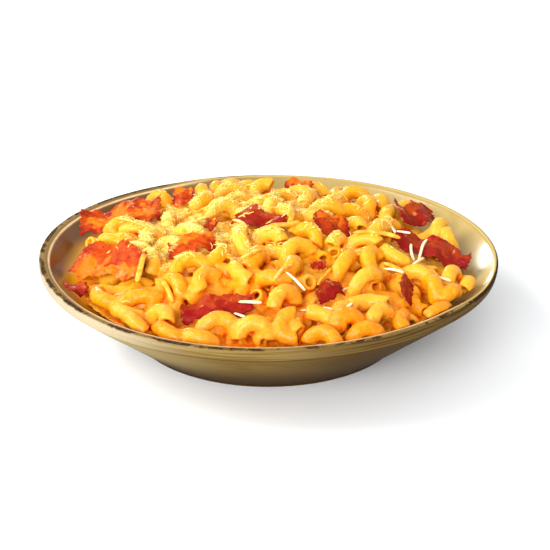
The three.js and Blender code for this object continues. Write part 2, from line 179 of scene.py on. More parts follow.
CHEDDAR_SHREDS = [
    Shred(-68, 5.5, -41, 23),
    Shred(-59.5, -50.5, -96, 21),
    Shred(-47, -60, -69, 19.5),
    Shred(-47, -36.5, 66, 13.5),
    Shred(-32.5, 7, 40, 17.5),
    Shred(-32.5, 32.5, 31, 16),
    Shred(-14, -7, -70, 19.5),
    Shred(12.5, 12.5, -100, 23),
    Shred(53, -19.5, -6, 23),
    Shred(8, -10.5, -153, 17.5),
    Shred(7, -60, -116, 21),
    Shred(26.5, -50.5, -117, 15),
    Shred(-8, -43.5, -138, 14),
    Shred(-42.5, 25.5, -125, 17.5),
    Shred(59.5, -40.5, -43, 11.5),
    Shred(79.5, -33.5, -85, 17.5),
    Shred(-20.5, 9, -70, 15),
    Shred(-9.5, 0, -52, 14),
    Shred(11.5, 3.5, -100, 16),
    Shred(79.5, -31, -85, 15),
]

WHITE_SHREDS = [
    Shred(-8, -77, -5, 10.5),
    Shred(77, -10.5, -108, 21),
    Shred(71.5, -14, -90, 16),
    Shred(59.5, -44, -43, 11.5),
    Shred(12.5, -67, -58, 16),
    Shred(19.5, -73.5, -1, 9.5),
    Shred(36.5, -51.5, 47, 9),
    Shred(83, -41.5, -35, 9.5),
    Shred(68, -2, -7, 7),
    Shred(-12.5, -84, -49, 8),
    Shred(63, 7, -83, 16),
    Shred(72.5, -32, 63, 14),
    Shred(26.5, -78.5, -30, 5.5),
    Shred(36.5, -77, 56, 6),
]

# ---------------------------------------------------------------- settings


def colour_setting(name, description, default):
    """A colour in linear red, green and blue."""
    return bpy.props.FloatVectorProperty(
        name=name, description=description, default=default, subtype="COLOR", size=3, min=0, max=1
    )


def length_setting(name, description, default):
    """A length in millimetres."""
    return bpy.props.FloatProperty(name=name, description=description, default=default, min=0.01)


def power_setting(name, description, default):
    """The power of a light in watts."""
    return bpy.props.FloatProperty(
        name=name, description=description, default=default, min=0, unit="POWER"
    )


class BowlSettings(bpy.types.PropertyGroup):
    glaze: colour_setting("Glaze", "Tan of the glaze", (0.100, 0.053, 0.005))
    pooled: colour_setting("Pooled glaze", "Paler colour where the glaze is thick", (0.19, 0.120, 0.030))
    # painted shade: the colour given to the glaze at the foot and on the right side, where shade falls
    painted_shade_glaze: colour_setting("Dark glaze", "Glaze at the foot and on the right side", (0.045, 0.022, 0.005))
    # painted light: the colour given to the glaze on the left side, which faces the light
    light: colour_setting("Light glaze", "Glaze on the left side", (0.29, 0.22, 0.085))
    inner: colour_setting("Inside", "Glaze of the inner wall", (0.47, 0.345, 0.115))
    # painted shade: the top of the inner wall at the left, in the rim's shadow
    painted_inner_shade: colour_setting("Inside, top", "Top of the inner wall at the left", (0.135, 0.047, 0.002))
    # painted light: orange bounce light and highlight from the food, low on the inner wall at the left
    painted_food_bounce: colour_setting("Inside, low", "Inner wall by the food at the left", (0.95, 0.50, 0.01))
    band: colour_setting("Rim band", "Pale tan of the rim's outer face", (0.19, 0.128, 0.045))
    # painted light: the rim's outer face made paler at the left, where the light falls on it
    painted_light_band: colour_setting("Light rim band", "The rim's outer face at the left", (0.44, 0.37, 0.25))
    # painted shade: the dark line in the crease under the rim band
    crease: colour_setting("Crease", "Dark line under the rim band", (0.05, 0.028, 0.014))
    lip: colour_setting("Lip", "Khaki of the flat lip", (0.19, 0.112, 0.026))
    # painted highlight: the bright line along the lip's inner edge
    painted_lip_highlight: colour_setting("Lip line", "Bright line along the lip's inner edge", (1.0, 0.72, 0.42))
    bare: colour_setting("Worn rim", "Brown clay where the glaze has worn off", (0.035, 0.014, 0.005))
    sides: bpy.props.IntProperty(name="Sides", description="Faces round the bowl", default=256, min=32)


class MacaroniSettings(bpy.types.PropertyGroup):
    golden: colour_setting("Golden", "Main colour of the coated pasta", (0.78, 0.32, 0.003))
    pale: colour_setting("Pale", "Colour of the palest noodles", (0.84, 0.44, 0.04))
    front: colour_setting("Front", "Main colour towards the front", (0.77, 0.19, 0.001))
    # painted shade: the deep orange given to hemmed-in places in the gaps between noodles
    painted_gap_shade: colour_setting("Deep", "Colour of the sauce between noodles", (0.78, 0.13, 0.0005))
    melted: colour_setting("Melted cheese", "Grains of cheese melted onto the pasta", (0.93, 0.68, 0.16))
    voxel: length_setting("Voxel", "Step of the distance field in mm", 0.78)
    sauce_depth: length_setting("Sauce depth", "How far the sauce lies under the core's top, in mm", 7.5)


class BaconSettings(bpy.types.PropertyGroup):
    lean: colour_setting("Lean", "Dark red of the lean meat", (0.25, 0.006, 0.004))
    fried: colour_setting("Lightly fried", "Orange red of lightly fried meat", (0.54, 0.07, 0.002))
    crust: colour_setting("Crust", "Darkest specks of the meat", (0.13, 0.004, 0.003))
    fat: colour_setting("Fat", "Golden streaks of fat", (0.70, 0.175, 0.006))
    rosy: colour_setting("Rosy fat", "Pale pink patches in the fat", (0.72, 0.27, 0.12))


class CheeseSettings(bpy.types.PropertyGroup):
    cheddar: colour_setting("Cheddar", "Orange shreds", (0.82, 0.29, 0.006))
    cheddar_patch: colour_setting("Cheddar, paler", "Patches of the orange shreds", (0.97, 0.52, 0.07))
    white: colour_setting("White cheese", "Pale shreds", (0.88, 0.70, 0.36))
    white_patch: colour_setting("White cheese, paler", "Patches of the pale shreds", (0.97, 0.86, 0.62))
    crumb: colour_setting("Crumbs", "Finely grated cheese", (0.92, 0.55, 0.07))
    crumb_patch: colour_setting("Crumbs, paler", "Patches of the crumbs", (0.95, 0.72, 0.24))
    crumbs: bpy.props.IntProperty(
        name="Crumbs", description="Crumbs strewn, counting those left out on steep places",
        default=8500, min=0,
    )


class StageSettings(bpy.types.PropertyGroup):
    floor: colour_setting("Floor", "Plain pale floor", (0.90, 0.91, 0.92))
    key_power: power_setting("Key light", "Large light from the left", 17)
    fill_power: power_setting("Fill light", "Light from the front", 21)
    window_power: power_setting("Window", "Small light from behind that glints on the glaze", 1.6)
    sky: bpy.props.FloatProperty(
        name="Sky", description="Strength of the even light all round", default=0.8, min=0
    )


# ---------------------------------------------------------------- meshes


def new_mesh(name, points, quads=(), triangles=()):
    """A smooth mesh from points in millimetres and arrays of corner numbers."""
    quads = np.asarray(quads, dtype=np.int32).reshape(-1, 4)
    triangles = np.asarray(triangles, dtype=np.int32).reshape(-1, 3)
    corners = np.concatenate([quads.ravel(), triangles.ravel()])
    sizes = np.concatenate([np.full(len(quads), 4), np.full(len(triangles), 3)])
    mesh = bpy.data.meshes.new(name)
    mesh.vertices.add(len(points))
    mesh.vertices.foreach_set("co", (np.asarray(points) * MM).astype(np.float32).ravel())
    mesh.loops.add(len(corners))
    mesh.loops.foreach_set("vertex_index", corners)
    mesh.polygons.add(len(sizes))
    mesh.polygons.foreach_set("loop_start", np.concatenate([[0], np.cumsum(sizes)[:-1]]).astype(np.int32))
    mesh.update(calc_edges=True)
    mesh.shade_smooth()
    return mesh


def add_values(mesh, **values):
    """Stores one number for each point, under each name, for the materials to read."""
    for name, numbers in values.items():
        layer = mesh.attributes.new(name, "FLOAT", "POINT")
        layer.data.foreach_set("value", np.asarray(numbers, dtype=np.float32).ravel())


def add_piece(mesh, material, replaced=()):
    """Puts a mesh in the scene as a piece of the object, in place of the solids named."""
    mesh.materials.append(material)
    piece = bpy.data.objects.new(mesh.name, mesh)
    bpy.context.scene.collection.objects.link(piece)
    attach(piece, "root")
    if replaced:
        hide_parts(*replaced)


def grid_quads(rows, columns, closed=False):
    """Corner numbers of the quads between neighbouring rows and columns of a grid."""
    row = np.arange(rows - 1)[:, None] * columns
    column = np.arange(columns if closed else columns - 1)[None, :]
    after = (column + 1) % columns
    corners = [row + column, row + after, row + columns + after, row + columns + column]
    return np.stack(np.broadcast_arrays(*corners), axis=-1).reshape(-1, 4)


# ---------------------------------------------------------------- materials


class Finish:
    """A material's shader, put together node by node."""

    def __init__(self, name, **sockets):
        self.material = bpy.data.materials.new(name)
        self.material.use_nodes = True
        self.tree = self.material.node_tree
        self.tree.nodes.clear()
        self.shader = self.node("ShaderNodeBsdfPrincipled")
        output = self.node("ShaderNodeOutputMaterial")
        self.tree.links.new(self.shader.outputs[0], output.inputs["Surface"])
        self.set(**sockets)

    def node(self, kind, **properties):
        """A new node with the properties given."""
        made = self.tree.nodes.new(kind)
        for name, value in properties.items():
            setattr(made, name, value)
        return made

    def feed(self, socket, value):
        """Links a socket to another node's output, or sets it to a number or colour."""
        if isinstance(value, bpy.types.NodeSocket):
            self.tree.links.new(value, socket)
        else:
            socket.default_value = value

    def set(self, **sockets):
        """Feeds the shader's own sockets, named in lower case with underscores."""
        for name, value in sockets.items():
            self.feed(self.shader.inputs[name.replace("_", " ").title().replace("Ior", "IOR")], value)

    def value(self, name):
        """The number that the mesh holds for each point under a name."""
        return self.node("ShaderNodeAttribute", attribute_name=name).outputs["Fac"]

    def position(self):
        """The place on the piece."""
        return self.node("ShaderNodeTexCoord").outputs["Object"]

    def axes(self):
        """The place on the piece as numbers in metres, under the names X, Y and Z."""
        made = self.node("ShaderNodeSeparateXYZ")
        self.feed(made.inputs[0], self.position())
        return made.outputs

    def noise(self, size, detail=3.0, roughness=0.5, distortion=0.0, stretch=(1, 1, 1)):
        """Noise whose lumps are about size millimetres across."""
        mapping = self.node("ShaderNodeMapping")
        self.feed(mapping.inputs["Vector"], self.position())
        mapping.inputs["Scale"].default_value = stretch
        made = self.node("ShaderNodeTexNoise")
        self.feed(made.inputs["Vector"], mapping.outputs[0])
        made.inputs["Scale"].default_value = 1 / (size * MM)
        made.inputs["Detail"].default_value = detail
        made.inputs["Roughness"].default_value = roughness
        made.inputs["Distortion"].default_value = distortion
        return made.outputs["Fac"]

    def span(self, value, low, high, to_low=0.0, to_high=1.0):
        """Goes smoothly from to_low to to_high as a value goes from low to high, and stays there beyond."""
        made = self.node("ShaderNodeMapRange", interpolation_type="SMOOTHSTEP")
        self.feed(made.inputs["Value"], value)
        for name, number in zip(("From Min", "From Max", "To Min", "To Max"), (low, high, to_low, to_high)):
            made.inputs[name].default_value = number
        return made.outputs["Result"]

    def combined(self, operation, first, second=0.0):
        """One of the maths node's operations on two numbers."""
        made = self.node("ShaderNodeMath", operation=operation)
        self.feed(made.inputs[0], first)
        self.feed(made.inputs[1], second)
        return made.outputs[0]

    def times(self, first, second):
        """Product of two numbers."""
        return self.combined("MULTIPLY", first, second)

    def blend(self, share, first, second):
        """Colour between first and second by a share from 0 to 1."""
        made = self.node("ShaderNodeMix", data_type="RGBA")
        self.feed(made.inputs["Factor"], share)
        for socket, colour in zip([s for s in made.inputs if s.type == "RGBA"], (first, second)):
            is_socket = isinstance(colour, bpy.types.NodeSocket)
            self.feed(socket, colour if is_socket else (*colour, 1))
        return [s for s in made.outputs if s.type == "RGBA"][0]

    def tinted(self, colour, other, value, low, high, most=1.0):
        """A colour that turns into another as a value goes from low to high, up to the share most."""
        return self.blend(self.span(value, low, high, 0, most), colour, other)

    def bump(self, height, depth, under=None):
        """Relief of a height from 0 to 1, depth millimetres high."""
        made = self.node("ShaderNodeBump")
        self.feed(made.inputs["Height"], height)
        made.inputs["Distance"].default_value = depth * MM
        if under is not None:
            self.feed(made.inputs["Normal"], under)
        return made.outputs["Normal"]


# ---------------------------------------------------------------- bowl


def slope_reach(rise):
    """How far out from the start of its slope the inside of the bowl is at a height above the floor."""
    return rise / WALL_SLOPE - FLOOR_BEND**2 * WALL_SLOPE / (4 * rise)


SLOPE_START = LIP_RADIUS - slope_reach(LIP_HEIGHT - FLOOR_TOP)


def inside_radius(height):
    """Radius of the inside of the bowl at a height: a hyperbola from the flat floor to the straight wall."""
    return SLOPE_START + slope_reach(height - FLOOR_TOP)


def inside_height(radius):
    """Height of the inside of the bowl at a radius, the same curve."""
    reach = radius - SLOPE_START
    return FLOOR_TOP + WALL_SLOPE * (reach + np.hypot(reach, FLOOR_BEND)) / 2


def outside_height(radius):
    """Height of the outside of the bowl, a straight line from the foot to the crease."""
    return FOOT_RECESS + WALL_SLOPE * (radius - FOOT_RADIUS - 1)


def smoothstep(value, low, high):
    """The share s of the way from low to high, held between 0 and 1, as s * s * (3 - 2 * s)."""
    share = np.clip((value - low) / (high - low), 0, 1)
    return share * share * (3 - 2 * share)


def hand_thrown(x, y):
    """Factor of the radius: a few slow waves round the rim that fade out towards the foot."""
    angle = np.arctan2(y, x)
    waves = 0.5 * np.sin(2 * angle + 0.6) + 0.8 * np.sin(3 * angle) - 0.6 * np.sin(4 * angle)
    return 1 + waves / RIM_RADIUS * smoothstep(np.hypot(x, y), FOOT_RADIUS, RIM_RADIUS)


def lip_narrowing(x, y):
    """Share by which the lip is narrower: 1 from the right round to the back, 0 on the other side."""
    return smoothstep(np.cos(np.arctan2(y, x) - LIP_NARROW_MIDDLE), 0.09, 0.47)


def narrowed_lip(points, inner):
    """The points of the mask inner moved out where the lip is narrow, the more the higher they are."""
    x, y, z = points.T
    radius = np.maximum(np.hypot(x, y), 1)
    room = np.clip((RIM_RADIUS - 1 - radius) / (RIM_RADIUS - 1 - LIP_RADIUS), 0, 1)
    shift = LIP_NARROWED * lip_narrowing(x, y) * smoothstep(z, 20, LIP_HEIGHT) * room * inner
    return np.stack([x * (1 + shift / radius), y * (1 + shift / radius), z], axis=1)


def rounded_corners(corners, steps=5):
    """Outline through (radius, height, cut): each corner is a parabola that starts and ends cut before it."""
    points = np.array([corner[:2] for corner in corners], dtype=float)
    outline = [points[:1]]
    for before, corner, after, (_, _, cut) in zip(points[:-2], points[1:-1], points[2:], corners[1:-1]):
        start = corner + (before - corner) * min(0.5, cut / max(np.linalg.norm(before - corner), 1e-6))
        end = corner + (after - corner) * min(0.5, cut / max(np.linalg.norm(after - corner), 1e-6))
        t = np.linspace(0, 1, steps if cut > 0 else 1)[:, None]
        curve = (1 - t) ** 2 * start + 2 * t * (1 - t) * corner + t * t * end
        outline.append(curve if cut > 0 else corner[None, :])
    return np.concatenate([*outline, points[-1:]])


def bowl_profile():
    """Outline of the turned bowl from the middle of the underside, up the outside and down the inside."""
    bevel = 1.0
    groove = 0.12  # height of the fine rings left by throwing
    outer = [(r, outside_height(r) + groove * math.sin(2.6 * r) * smoothstep(r, 92, 104), 0)
             for r in np.linspace(FOOT_RADIUS + 4, CREASE_RADIUS - 1.4, 64)]
    inner = [(r, inside_height(r) - WALL_HOLLOW * max(0, 1 - ((r - 99) / 10.7) ** 2), 0)
             for r in LIP_RADIUS - 0.6 - (LIP_RADIUS - 3.6) * np.linspace(0, 1, 52) ** 1.5]
    return rounded_corners([
        (0, FOOT_RECESS, 0),
        (40, FOOT_RECESS, 0),
        (FOOT_RADIUS - FOOT_RING_WIDTH - bevel, FOOT_RECESS, 0.8),
        (FOOT_RADIUS - FOOT_RING_WIDTH, 0, 0.6),
        (FOOT_RADIUS - bevel * 0.4, 0, 0.7),
        (FOOT_RADIUS, 1.2, 0.6),
        (FOOT_RADIUS + 1.4, outside_height(FOOT_RADIUS + 1.4), 0.8),
        *outer,
        (CREASE_RADIUS - 0.6, CREASE_HEIGHT - 0.3, 0.4),
        (CREASE_RADIUS - 0.1, CREASE_HEIGHT + 0.6, 0.3),
        (CREASE_RADIUS + 1.5, CREASE_HEIGHT + 1.0, 0.5),
        (RIM_RADIUS - 0.1, CREASE_HEIGHT + 3.4, 1.2),
        (RIM_RADIUS, RIM_HEIGHT, 1.2),
        (RIM_RADIUS - 2, RIM_HEIGHT, 0.2),
        (RIM_RADIUS - 2.8, RIM_HEIGHT - 0.05, 0.2),
        (LIP_RADIUS + 1.4, RIM_HEIGHT - 0.15, 0.9),
        (LIP_RADIUS, LIP_HEIGHT, 0.5),
        *inner,
        (0, FLOOR_TOP, 0),
    ])


def turned(profile, sides):
    """Points radius * (cos a, sin a) and height of an outline that starts and ends on the axis."""
    angle = np.linspace(0, 2 * np.pi, sides, endpoint=False)[None, :]
    radius = profile[1:-1, 0][:, None]
    x = radius * np.cos(angle)
    y = radius * np.sin(angle)
    z = np.broadcast_to(profile[1:-1, 1][:, None], x.shape)
    factor = hand_thrown(x, y)
    ring_points = np.stack([x * factor, y * factor, z], axis=-1).reshape(-1, 3)
    rings = len(profile) - 2
    points = np.concatenate([ring_points, [[0, 0, profile[0, 1]], [0, 0, profile[-1, 1]]]])
    first = np.arange(sides)
    after = (first + 1) % sides
    last = (rings - 1) * sides
    bottom = np.stack([np.full(sides, len(points) - 2), after, first], axis=1)
    top = np.stack([np.full(sides, len(points) - 1), last + first, last + after], axis=1)
    return points, grid_quads(rings, sides, closed=True), np.concatenate([bottom, top])


def glaze_finish(settings, name, shine, roughness):
    """Tan glaze, paler inside. Painted shade makes it darker at the foot and the right, and painted light
    makes it paler at the left; on the inner wall at the left there is painted shade at the top and painted
    bounce light from the food lower down. A painted highlight runs along the lip's inner edge, and a line of
    painted shade runs in the crease.

    The khaki lip is worn to brown clay along its outer edge.
    """
    finish = Finish(name, ior=1.5, specular_ior_level=shine)
    axes = finish.axes()
    narrow = finish.value("narrow")
    cloud = finish.noise(30, detail=4, distortion=0.5)
    rings = finish.noise(5, detail=3, stretch=(0.12, 0.12, 6))
    patches = finish.noise(14, detail=6, roughness=0.7, distortion=0.8)
    specks = finish.noise(1.1, detail=3, roughness=0.7)
    dots = finish.noise(0.7, detail=1)

    outer = finish.tinted(settings.glaze, settings.pooled, cloud, 0.35, 0.7, 0.6)
    outer = finish.tinted(outer, settings.pooled, rings, 0.45, 0.7, 0.5)
    # painted shade: the outer glaze turns darker towards the right side
    outer = finish.tinted(outer, settings.painted_shade_glaze, axes["X"], -0.03, 0.06, 0.85)
    # painted light: the outer glaze turns paler towards the left side
    outer = finish.tinted(outer, settings.light, axes["X"], -0.005, -0.07, 0.85)
    # painted shade: darker towards the foot, where the floor and the bowl's overhang shade the wall
    outer = finish.blend(finish.value("low"), outer, settings.painted_shade_glaze)

    # painted shade at the top of the inner wall and painted bounce light from the food below it; the inner
    # wall takes these on towards the left
    left = finish.tinted(settings.painted_inner_shade, settings.painted_food_bounce, axes["Z"], 0.037, 0.029)
    inner = finish.tinted(settings.inner, left, axes["X"], 0.03, -0.08)
    inner = finish.tinted(inner, settings.pooled, cloud, 0.35, 0.7, 0.3)
    colour = finish.blend(finish.value("inside"), outer, inner)

    band = finish.tinted(settings.band, settings.glaze, rings, 0.42, 0.62, 0.7)
    # painted light on the rim band at the left
    band = finish.tinted(band, settings.painted_light_band, axes["X"], -0.025, -0.085, 0.75)
    # dark streaks of bare clay on the rim band, put only on the right side: partly streaks in the glaze and
    # partly painted shade on the side away from the light
    streaks = finish.times(finish.span(axes["X"], -0.005, 0.05), finish.span(rings, 0.58, 0.44, 0.15, 0.85))
    band = finish.blend(streaks, band, settings.bare)
    colour = finish.blend(finish.value("band"), colour, band)
    # painted shade in the crease under the rim band
    colour = finish.blend(finish.value("crease"), colour, settings.crease)
    lip = finish.blend(narrow, settings.lip, settings.inner)
    colour = finish.blend(finish.value("lip"), colour, lip)

    patchy = finish.combined("ADD", patches, finish.times(narrow, 0.12))
    worn = finish.times(finish.value("outer_edge"), finish.span(patchy, 0.42, 0.54))
    worn = finish.times(finish.span(worn, 0.2, 0.7), finish.span(specks, 0.3, 0.5, 0.3, 1))
    colour = finish.blend(worn, colour, settings.bare)
    # painted highlight along the lip's inner edge, broken in patches
    line = finish.times(finish.value("lip_highlight_mask"), finish.span(patches, 0.7, 0.3, 0.6, 1))
    colour = finish.blend(line, colour, settings.painted_lip_highlight)
    colour = finish.tinted(colour, settings.bare, dots, 0.68, 0.74, 0.35)
    ripple = finish.bump(finish.noise(9, detail=2, stretch=(1, 1, 3)), 0.04)
    finish.set(
        base_color=colour,
        roughness=finish.span(worn, 0, 1, roughness, 0.6),
        normal=finish.bump(specks, 0.01, under=ripple),
    )
    return finish.material


def glaze_values(points):
    """Numbers from 0 to 1 by which the glaze knows the parts of the bowl.

    An edge or crease is exp(-d * d) of the distance d to its line, counted in widths of the line.
    """
    x, y, height = points.T
    distance = np.hypot(x, y) / hand_thrown(x, y)
    narrow = lip_narrowing(x, y)
    front = smoothstep(-y / np.maximum(distance, 1), 0.3, 0.9)
    back = smoothstep(np.cos(np.arctan2(y, x) - WHOLE_GLAZE_MIDDLE), 0.42, 0.64)
    outer = np.hypot(distance - RIM_RADIUS + 1.6 - 1.2 * narrow, height - RIM_HEIGHT + 1.0 * narrow)
    # where the painted highlight line along the lip's inner edge lies, and how wide it is
    edge_radius = LIP_RADIUS + 0.1 + 0.8 * front
    edge_height = RIM_HEIGHT - 0.7 + 0.3 * front
    highlight_width = 0.6 + 0.5 * np.maximum(front, narrow)
    inner = np.hypot(distance - edge_radius, height - edge_height) / highlight_width
    crease = np.hypot(distance - CREASE_RADIUS, height - CREASE_HEIGHT)
    return {
        "outer_edge": np.exp(-((outer / 1.4) ** 2)) * (1 - 0.5 * back),
        # share of the painted highlight line
        "lip_highlight_mask": np.exp(-(inner**2)) * (1 - back),
        "narrow": narrow,
        # share of the painted shade line in the crease
        "crease": np.exp(-((crease / 0.9) ** 2)),
        "band": (distance > CREASE_RADIUS + 0.5) & (height > CREASE_HEIGHT + 0.5),
        "lip": (distance > LIP_RADIUS + 0.2) & (distance < RIM_RADIUS - 0.7) & (height > RIM_HEIGHT - 1),
        "inside": (distance < LIP_RADIUS + 0.2) & (height > inside_height(distance) - INSIDE_MARGIN),
        # share of the painted shade towards the foot
        "low": 1 - smoothstep(height, 2, 27),
    }


class MESH_OT_glazed_bowl(bpy.types.Operator):
    """Make the stoneware bowl"""

    bl_idname = "mesh.glazed_bowl"
    bl_label = "Glazed bowl"

    def execute(self, context):
        settings = context.scene.bowl_settings
        profile = bowl_profile()
        points, quads, triangles = turned(profile, settings.sides)
        past_rim = np.arange(len(points)) >= settings.sides * (np.argmax(profile[:, 1]) - 1)
        mesh = new_mesh("stoneware_bowl", narrowed_lip(points, past_rim), quads, triangles)
        values = glaze_values(points)
        add_values(mesh, **values)
        add_piece(mesh, glaze_finish(settings, "glossy_glaze", 0.3, 0.16), ["dish"])
        mesh.materials.append(glaze_finish(settings, "satin_glaze", 0.01, 0.45))
        corner = np.concatenate([quads[:, 0], triangles[:, 0]])
        mesh.polygons.foreach_set("material_index", np.where(values["inside"][corner], 0, 1).astype(np.int32))
        return {"FINISHED"}


# ---------------------------------------------------------------- bacon


def ground_height(x, y):
    """Top of the bare heap: a shallow dome with slow lumps that fade out at its edge."""
    share = np.minimum((x * x + y * y) / HEAP_EDGE_RADIUS**2, 1.15)
    slow = 1.1 * np.sin(0.069 * x + 1.1) * np.sin(0.077 * y + 0.4)
    quick = 0.8 * np.sin(0.148 * x - 0.7) * np.sin(0.132 * y + 2)
    fade = np.clip((1 - share) * 3, 0, 1)
    return HEAP_EDGE_HEIGHT + (HEAP_PEAK_HEIGHT - HEAP_EDGE_HEIGHT) * (1 - share) + (slow + quick) * fade


def drawn_back(x, y):
    """How far a place moves towards the middle because the heap draws back from the wall at the left."""
    fade = smoothstep(np.abs(y - LEFT_MIDDLE), *LEFT_REACH)
    return LEFT_INSET * smoothstep(-x, HEAP_EDGE_RADIUS / 2, HEAP_EDGE_RADIUS) * (1 - fade)


def bed_height(x, y):
    """What bacon lies on: the bare heap, or past its edge the wall of the bowl."""
    wall = inside_height(np.hypot(x, y) / hand_thrown(x, y))
    return np.maximum(ground_height(x, y), wall + BACON_WALL_GAP)


def bacon_point(piece, u, v):
    """Middle surface of a piece, u along and v across from -1 to 1.

    The outline is ragged and tapers, the piece is tilted up to one side and waves along its length.
    """
    heading = math.radians(piece.heading)
    tilt = math.radians(piece.tilt)
    uneven = 0.07 * np.sin(5.1 * u + piece.phase) + 0.04 * np.sin(11.3 * u + piece.phase)
    ragged = (1 - 0.4 * u**4 + uneven) * (1 - piece.taper * u)
    along = u * piece.length / 2
    across = v * piece.width / 2 * ragged * math.cos(tilt)
    across = across + 0.06 * piece.length * np.sin(2.1 * u + piece.phase)
    x = piece.x + along * math.cos(heading) - across * math.sin(heading)
    y = piece.y + along * math.sin(heading) + across * math.cos(heading)
    waves = max(2, round(piece.length / 10))
    rise = piece.width * math.sin(tilt) * (v + 1) / 2
    wave = piece.curl * (1 + np.sin(waves * math.pi * u / 2 + piece.phase)) / 2
    z = bed_height(x, y) + CONTACT_GAP + BACON_THICKNESS / 2 + rise + wave
    return np.stack(np.broadcast_arrays(x, y, z), axis=-1)


@lru_cache
def bacon_samples():
    """Points spread over every piece, by which noodles keep clear of the bacon."""
    u, v = np.meshgrid(np.linspace(-1, 1, 9), np.linspace(-1, 1, 5), indexing="ij")
    return np.concatenate([bacon_point(piece, u, v).reshape(-1, 3) for piece in BACON])


def fried_surface(piece, u, v):
    """The middle surface with torn edges, their frill and fine puckers across it.

    Sines of 1.5 to 4 mm move each edge in and out, the more the nearer a point is to it.
    """
    along, aside = u * piece.length / 2, v * piece.width / 2
    torn_side = (
        np.sin(1.7 * along + piece.phase)
        + 0.6 * np.sin(2.9 * along + 3 * v)
        + 0.5 * np.sin(4.3 * along)
    )
    torn_end = (
        np.sin(1.3 * aside + piece.phase)
        + 0.7 * np.sin(2.6 * aside + 2 * u)
        + 0.5 * np.sin(4.1 * aside)
    )
    ragged_u = u * (1 + (0.45 * torn_end * np.abs(u) ** 5 - 0.4 * np.abs(u) ** 5) / (piece.length / 2))
    ragged_v = v * (1 + (0.3 * torn_side * np.abs(v) ** 5 - 0.2 * np.abs(v) ** 5) / (piece.width / 2))
    points = bacon_point(piece, ragged_u, ragged_v)
    frill = 1.0 * np.abs(v) ** 3 * np.sin(0.27 * piece.length * u + 2 * v + piece.phase)
    pucker = 0.25 * np.sin(0.45 * piece.length * u + 2.4 * np.sin(3 * v + piece.phase))
    blister = (
        0.16
        * np.sin(0.35 * piece.length * u + 5 * v)
        * np.sin(0.35 * piece.width * v + 2 * piece.phase)
    )
    points[..., 2] += frill + pucker + blister
    return points


def bacon_slab(piece, columns, rows):
    """A piece with thickness, and for each point its v and its nearness to an end, from 0 to 1.

    Its faces are above and below the fried surface by about half the thickness times the root of
    1 - r^6, where r is the larger of |u| and |v|, so they meet round the edge.
    """
    u = np.sin(np.linspace(-np.pi / 2, np.pi / 2, columns))[:, None]
    v = np.sin(np.linspace(-np.pi / 2, np.pi / 2, rows))[None, :]
    u, v = np.broadcast_arrays(u * (1 + 0 * v), v * (1 + 0 * u))
    middle = fried_surface(piece, u, v)
    reach = np.maximum(np.abs(u), np.abs(v))
    half = 0.45 * BACON_THICKNESS * np.sqrt(1 - reach**6) * (1 + 0.25 * np.sin(9 * v + 3 * u + piece.phase))
    offset = np.stack([0 * half, 0 * half, half], axis=-1)
    top = middle + offset
    bottom = middle - offset
    count = columns * rows
    quads = grid_quads(columns, rows)
    edge = (reach > 1 - 1e-9).ravel()
    lower = np.where(edge, np.arange(count), np.arange(count) + count)
    points = np.concatenate([top.reshape(-1, 3), bottom.reshape(-1, 3)])
    quads = np.concatenate([quads, lower[quads[:, ::-1]]])
    used, packed = np.unique(quads, return_inverse=True)
    across = np.tile(v.ravel(), 2)
    ends = np.tile(smoothstep(np.abs(u.ravel()), 0.6, 1), 2)
    return points[used], packed.reshape(-1, 4), across[used], ends[used]


def bacon_finish(settings):
    """Oily meat: red lean with wavy golden streaks of fat along the piece, darker where fried harder."""
    finish = Finish("fried_bacon", specular_ior_level=0.05, subsurface_weight=0.1, subsurface_scale=0.001)
    finish.set(subsurface_radius=(1.0, 0.3, 0.1), coat_weight=0.05, coat_roughness=0.12)
    frying = finish.value("frying")
    fine = finish.noise(1.7, detail=5, roughness=0.7)
    wave = finish.value("fat_wave")
    for wander, strength in (
        (finish.noise(13, detail=2, distortion=0.4), 7.0),
        (finish.noise(3.2, detail=4), 3.6),
    ):
        shift = finish.times(finish.combined("SUBTRACT", wander, 0.5), strength)
        wave = finish.combined("ADD", wave, shift)
    streaks = finish.combined("SINE", wave)

    meat = finish.blend(frying, settings.fried, settings.lean)
    meat = finish.tinted(meat, settings.lean, finish.noise(6, detail=3), 0.42, 0.66, 0.7)
    meat = finish.tinted(meat, settings.crust, fine, 0.48, 0.70, 0.75)
    fat = finish.tinted(settings.fat, settings.fried, fine, 0.42, 0.62, 0.5)
    fatty = finish.times(finish.span(streaks, 0.05, 0.75), finish.span(frying, 1.0, 0.15, 0.12, 0.95))
    colour = finish.blend(fatty, meat, fat)
    rosy = finish.span(finish.noise(4, detail=3, distortion=0.6), 0.60, 0.68, 0, 0.7)
    rosy = finish.times(rosy, finish.span(streaks, -0.6, 0.4))
    colour = finish.blend(rosy, colour, settings.rosy)
    finish.set(
        base_color=colour,
        roughness=finish.span(fine, 0.3, 0.7, 0.2, 0.45),
        normal=finish.bump(finish.noise(0.8, detail=3), 0.1, under=finish.bump(fine, 0.5)),
    )
    return finish.material


class MESH_OT_bacon_pieces(bpy.types.Operator):
    """Make the pieces of fried bacon"""

    bl_idname = "mesh.bacon_pieces"
    bl_label = "Bacon pieces"

    def execute(self, context):
        material = bacon_finish(context.scene.bacon_settings)
        for number, (piece, frying) in enumerate(zip(BACON, BACON_FRYING), start=1):
            columns = 24 + int(2.2 * piece.length)
            rows = 16 + int(1.6 * piece.width)
            points, quads, across, ends = bacon_slab(piece, columns, rows)
            rate, shift = FAT_WAVE.get(number, USUAL_FAT_WAVE)
            node = f"bacon_{number:02d}"
            mesh = new_mesh(f"fried_{node}", points, quads)
            add_values(mesh, fat_wave=across * rate + shift, frying=np.clip(frying + 0.7 * ends, 0, 1))
            add_piece(mesh, material, [node])
        return {"FINISHED"}


# ---------------------------------------------------------------- where the noodles lie

